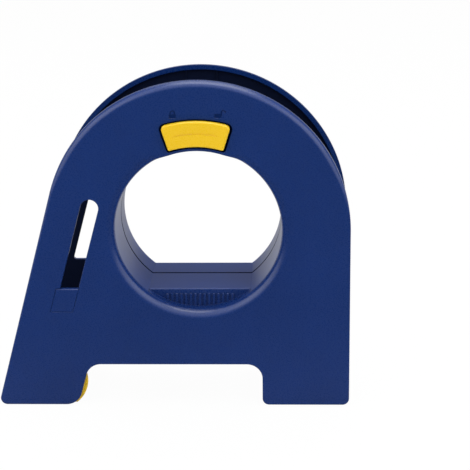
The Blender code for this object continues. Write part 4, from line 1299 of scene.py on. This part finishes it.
def finger_line(width, angle):
    """The finger rest's outline: a slope down to a line across the cap."""
    top = pi / 2
    step = angle / CAP_FILLET_STEPS
    outer = arc(0, 0, CAP_LINE_RADIUS + width, top - angle, top + angle, step)
    return outer + arc(0, 0, CAP_LINE_RADIUS, top + angle, top - angle, step)


def build_lock_cap():
    """The cap with a rounded edge, a shallow finger line and a socket for the latch's stem."""
    rings = soft_rings(cap_outline, -CAP_PROUD, -GAP, CAP_FILLET, 0, CAP_FILLET_STEPS)
    cap = loft("lock_cap", rings)
    play = GAP / STEM_INNER
    reach = STEM_ANGLE + play
    socket = sector(STEM_INNER - GAP, STEM_OUTER + GAP, -reach, reach)
    cut(cap, prism("socket", socket, -STEM_HEIGHT - GAP, OVERRUN))
    wide, slim = [finger_line(*sizes) for sizes in zip(CAP_LINE_WIDTHS, CAP_LINE_ANGLES)]
    floor = CAP_LINE_DEPTH - CAP_PROUD
    cut(cap, loft("line", [(wide, -CAP_PROUD - OVERRUN), (wide, -CAP_PROUD), (slim, floor)]))
    finish_piece(cap)


def build_tab():
    """A tab flush in its window, with a root block and a trunnion behind the plate."""
    high = up(SLOT_FOOT_HEIGHT)
    bottom = high - TAB_LENGTH
    x, depth, z = tab_pivot()

    def outline(inset):
        drawn = inset * TAB_SIDE_SHARE
        low = bottom - (TAB_SLIT - TAB_SEAM) / 2 + drawn
        width = TAB_WIDTH + TAB_SLIT - TAB_SEAM - 2 * drawn
        return leg_band(band(TAB_SHARE), width, low, high - inset)

    tab = loft("brake_pad", soft_rings(outline, 0, WALL, TAB_ROUND, 0))
    width = TAB_WIDTH - 2 * STEP_OFF
    root = leg_band(band(TAB_SHARE), width, bottom + STEP_OFF, bottom + TAB_ROOT_HEIGHT)
    join(tab, prism("root", root, WALL / 2, depth))
    reach = ear_offset() + EAR_WIDTH
    profile = tube_profile(0, TRUNNION_RADIUS, -reach, reach, GAP)
    join(tab, lengthwise("trunnion", profile, x, depth, z))
    mark_z = bottom + TAB_MARK_RISE
    cut(tab, ring_mark(leg_x(band(TAB_SHARE), mark_z), mark_z, TAB_MARK_RADIUS))
    finish_piece(tab)


# Rollers


def roller_ends():
    """Where the rollers start and end: between the bosses."""
    start = WALL + BOSS_REACH + GAP
    return start, BODY_DEPTH - start


def build_press_roller():
    x, z = PRESS_AXIS
    start, end = roller_ends()
    inset = WASHER_THICKNESS + GAP
    bore = PRESS_AXLE_RADIUS + GAP
    ends = (start + inset, end - inset)
    profile = tube_profile(bore, CORE_RADIUS, *ends, ROLLER_ROUND)
    finish_piece(revolve("roller_core", profile, x, z, ROLLER_STEPS))
    profile = tube_profile(CORE_RADIUS + GAP, PRESS_RADIUS, *ends, ROLLER_ROUND)
    finish_piece(revolve("roller_sleeve", profile, x, z, ROLLER_STEPS))
    for side, near in ((FRONT, start), (REAR, end - WASHER_THICKNESS)):
        profile = tube_profile(bore, WASHER_RADIUS, near, near + WASHER_THICKNESS, STEP_OFF)
        finish_piece(revolve("roller_washer_" + side, profile, x, z, ROLLER_STEPS))
    build_axle("roller_axle", PRESS_AXIS, PRESS_AXLE_RADIUS)


def build_axle(name, axis, radius):
    seat = AXLE_SEAT + GAP
    finish_piece(pin(name, *axis, radius, seat, BODY_DEPTH - seat, soft=GAP))


def build_guide_roller():
    start, end = roller_ends()
    profile = tube_profile(GUIDE_AXLE_RADIUS + GAP, GUIDE_RADIUS, start, end, ROLLER_ROUND)
    grooves = []
    for middle in spread(start, end, GUIDE_GROOVES + 1)[1:-1]:
        for along, drop in GROOVE_SHARES:
            spot = middle + GROOVE_WIDTH / 2 * along
            grooves.append((GUIDE_RADIUS - GROOVE_DEPTH * drop, spot))
    half = len(profile) // 2
    profile = profile[:half] + grooves + profile[half:]
    finish_piece(revolve("guide_wheel", profile, *GUIDE_AXIS, ROLLER_STEPS))
    build_axle("guide_axle", GUIDE_AXIS, GUIDE_AXLE_RADIUS)


# Blade guard


def axle_way():
    """The curved way, about the guard's pivot, that the press roller's boss needs."""
    pivot = Vector(GUARD_AXIS)
    boss = Vector(PRESS_AXIS)
    arm = boss - pivot
    start = atan2(arm.y, arm.x)
    end = start + GUARD_SWING
    half = PRESS_BOSS_RADIUS + GAP
    tip = pivot + Vector((cos(end), sin(end))) * arm.length
    points = arc(*pivot, arm.length + half, start, end, WIDE_STEP)
    points += arc(*tip, half, end, end + pi)[1:-1]
    points += arc(*pivot, arm.length - half, end, start, WIDE_STEP)
    return points + arc(*boss, half, start + pi, start + 2 * pi)[1:-1]


def build_cheek(side):
    start = from_face(side, WALL + GAP)
    end = from_face(side, WALL + GAP + CHEEK)
    before = from_face(side, WALL)
    after = from_face(side, WALL + 2 * GAP + CHEEK)
    rings = soft_rings(cheek_outline, start, end, CHEEK_ROUND, CHEEK_ROUND)
    cheek = loft("cheek_" + side, rings)
    cut(cheek, pin("eye", *GUARD_AXIS, GUARD_BOSS_RADIUS + GAP, before, after))
    cut(cheek, prism("axle_way", axle_way(), before, after))
    return cheek


def build_guard():
    """Two cheeks on a bridge, and the pin they swing on."""
    guard = build_cheek(FRONT)
    x, z = from_guard(BRIDGE_ACROSS, BRIDGE_DROP)
    wide = BRIDGE_WIDTH / 2
    tall = BRIDGE_THICK / 2
    corners = rectangle(x - wide, x + wide, z - tall, z + tall)
    bar = rounded([(right, rise, GAP) for right, rise in corners])
    inner = WALL + GAP + CHEEK / 2
    join(guard, prism("bridge", bar, inner, BODY_DEPTH - inner))
    join(guard, build_cheek(REAR))
    guard.name = "guard_arm"
    finish_piece(guard)
    build_axle("guard_pivot", GUARD_AXIS, GUARD_PIN_RADIUS)


def spring_points():
    """A coil round the pin with one leg to the peg and one under the guard's bridge."""
    start = WALL + BOSS_REACH + GAP + SPRING_WIRE
    clear = SPRING_WIRE + GAP
    pivot_x, pivot_z = GUARD_AXIS
    peg_x, peg_z = from_guard(-SPRING_PEG_ACROSS, SPRING_PEG_DROP)
    points = [(peg_x - SPRING_PEG_RADIUS, start, peg_z + SPRING_PEG_RADIUS + clear)]
    for i in range(round(SPRING_TURNS * SPRING_POINTS) + 1):
        turn = i / SPRING_POINTS
        angle = pi / 2 - 2 * pi * turn
        x, z = polar(pivot_x, pivot_z, SPRING_RADIUS, angle)
        points.append((x, start + turn * SPRING_PITCH, z))
    depth = points[-1][1]
    x, z = from_guard(BRIDGE_ACROSS, BRIDGE_DROP)
    low = z - BRIDGE_THICK / 2 - clear
    return points + [(x - BRIDGE_WIDTH / 2 - clear, depth, low), (x, depth, low)]


def build_spring():
    curve = bpy.data.curves.new("spring", "CURVE")
    curve.dimensions = "3D"
    curve.bevel_depth = SPRING_WIRE
    curve.bevel_resolution = SPRING_ROUNDING
    curve.use_fill_caps = True
    points = spring_points()
    spline = curve.splines.new("POLY")
    spline.points.add(len(points) - 1)
    for point, spot in zip(spline.points, points):
        point.co = (*place(*spot), 1)
    draft = new_object("spring", curve)
    work = bmesh.new()
    work.from_mesh(evaluated(draft))
    bpy.data.objects.remove(draft)
    spring = finish_piece(made("torsion_spring", work))
    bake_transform(spring)


# Blade screws


def build_screws():
    """Domed heads with a slot, their shanks through the blade into the holder."""
    z = HOLDER_MIDDLE
    under_head = BLADE_LEFT - GAP
    inset = SCREW_INSET + WALL + BOSS_REACH
    for side, depth in ((FRONT, inset), (REAR, BODY_DEPTH - inset)):
        profile = [(0, -SCREW_HEAD_HEIGHT)]
        for right, rise in arc(0, 0, 1.0, pi / 2, 0)[1:]:
            along = SCREW_HEAD_HEIGHT * (SCREW_DOME + (1 - SCREW_DOME) * rise)
            profile.append((SCREW_HEAD_RADIUS * right, -along))
        profile += [(SCREW_HEAD_RADIUS, 0), (SCREW_RADIUS, 0)]
        profile += [(SCREW_RADIUS, SCREW_LENGTH), (0, SCREW_LENGTH + GAP)]
        screw = lengthwise("screw_" + side, profile, under_head, depth, z)
        half = SCREW_SLOT / 2
        wide = SCREW_HEAD_RADIUS + OVERRUN
        slot = rectangle(depth - wide, depth + wide, z - half, z + half)
        left = under_head - SCREW_HEAD_HEIGHT
        cut(screw, cross_prism("slot", slot, left - OVERRUN, left + SCREW_HEAD_HEIGHT / 2))
        finish_piece(screw)


# Stage


def build_floor():
    """A pale floor that keeps the object's shadow and is lit up to white behind it."""
    bpy.ops.mesh.primitive_plane_add(size=FLOOR_SIZE)
    floor = bpy.context.object
    floor.name = "floor"
    floor.location.z = -FLOOR_DROP_BELOW
    material, tree, shader = new_material("floor")
    feed(tree, shader, {"Base Color": FLOOR_COLOUR, "Roughness": FLOOR_ROUGHNESS})
    path = tree.nodes.new("ShaderNodeLightPath").outputs
    camera = path["Is Camera Ray"]
    seen = add_node(tree, "Math", (camera, path["Is Glossy Ray"]), operation="MAXIMUM")
    amount = add_node(tree, "Math", (seen, FLOOR_GLOW), operation="MULTIPLY")
    spot = add_node(tree, "TexCoord", {}, "Object")
    fade = fading(tree, axis_of(tree, spot, "Y"), FLOOR_FADE, (FLOOR_FRONT, FLOOR_BACK))
    strength = add_node(tree, "Math", (camera, fade), operation="MAXIMUM")
    glow = add_node(tree, "Emission", {"Strength": strength})
    mix = add_node(tree, "MixShader", (amount, shader.outputs["BSDF"], glow))
    feed(tree, tree.nodes["Material Output"], {"Surface": mix})
    floor.data.materials.append(material)


def build_world():
    """White to the camera, an even soft light, and a gloss that is brightest high in front."""
    world = bpy.data.worlds.new("studio")
    bpy.context.scene.world = world
    world.use_nodes = True
    tree = world.node_tree
    spot = add_node(tree, "TexCoord", {}, "Generated")
    ahead = fading(tree, axis_of(tree, spot, "Y"), GLOSS_AHEAD)
    rise = fading(tree, axis_of(tree, spot, "Z"), GLOSS_RISE)
    both = add_node(tree, "Math", (ahead, rise), operation="MULTIPLY")
    fed = (both, SKY_FRONT, SKY_LOW)
    strength = add_node(tree, "Math", fed, operation="MULTIPLY_ADD")
    glossy = tree.nodes["Background"]
    feed(tree, glossy, {"Color": WHITE_LIGHT, "Strength": strength})
    even, white = [
        add_node(tree, "Background", {"Color": WHITE_LIGHT, "Strength": power})
        for power in (SKY_EVEN, 1)
    ]
    path = tree.nodes.new("ShaderNodeLightPath").outputs
    fed = (path["Is Glossy Ray"], even, glossy.outputs["Background"])
    light = add_node(tree, "MixShader", fed)
    mix = add_node(tree, "MixShader", (path["Is Camera Ray"], light, white))
    feed(tree, tree.nodes["World Output"], {"Surface": mix})


def build_lamps():
    for name, spot, size, power in LAMPS:
        data = bpy.data.lights.new(name, "AREA")
        data.shape = "RECTANGLE"
        data.size, data.size_y = size
        data.energy = power
        lamp = new_object(name, data)
        lamp.location = spot
        aim = Vector((0, 0, AXIS_HEIGHT)) - lamp.location
        lamp.rotation_mode = "QUATERNION"
        lamp.rotation_quaternion = aim.to_track_quat("-Z", "Y")


def build_camera():
    """The photograph's camera: its place and tilt from the hub's axis and the front face."""
    level = Matrix.Rotation(-CAMERA_YAW, 3, "Z")
    aimed = level @ Matrix.Rotation(pi / 2 - CAMERA_PITCH, 3, "X")
    turned = aimed @ Matrix.Rotation(-CAMERA_ROLL, 3, "Z")
    right, rise = CAMERA_SHIFT
    spot = aimed @ Vector((-right, -rise, CAMERA_DISTANCE))
    data = bpy.data.cameras.new("camera")
    data.sensor_width = SENSOR
    data.lens = FOCAL_PIXELS / PICTURE_PIXELS * SENSOR
    data.clip_start, data.clip_end = CAMERA_CLIP
    camera = new_object("camera", data)
    camera.matrix_world = Matrix.Translation(place(*spot)) @ turned.to_4x4()
    bpy.context.scene.camera = camera


def main():
    bpy.context.scene.view_settings.view_transform = "Standard"
    build_camera()
    build_floor()
    build_world()
    build_lamps()
    for name, finish in PLASTICS.items():
        plastic(name, *finish)
    rubber("ground_rubber")
    for name, finish in STEELS.items():
        steel(name, *finish)
    build_shell(FRONT)
    build_shell(REAR)
    build_lock_cap()
    build_tab()
    build_press_roller()
    build_guide_roller()
    build_guard()
    build_spring()
    build_screws()
    for name, look in CAD_LOOKS.items():
        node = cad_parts[name]
        node.data.materials.clear()
        node.data.materials.append(bpy.data.materials[look])


main()
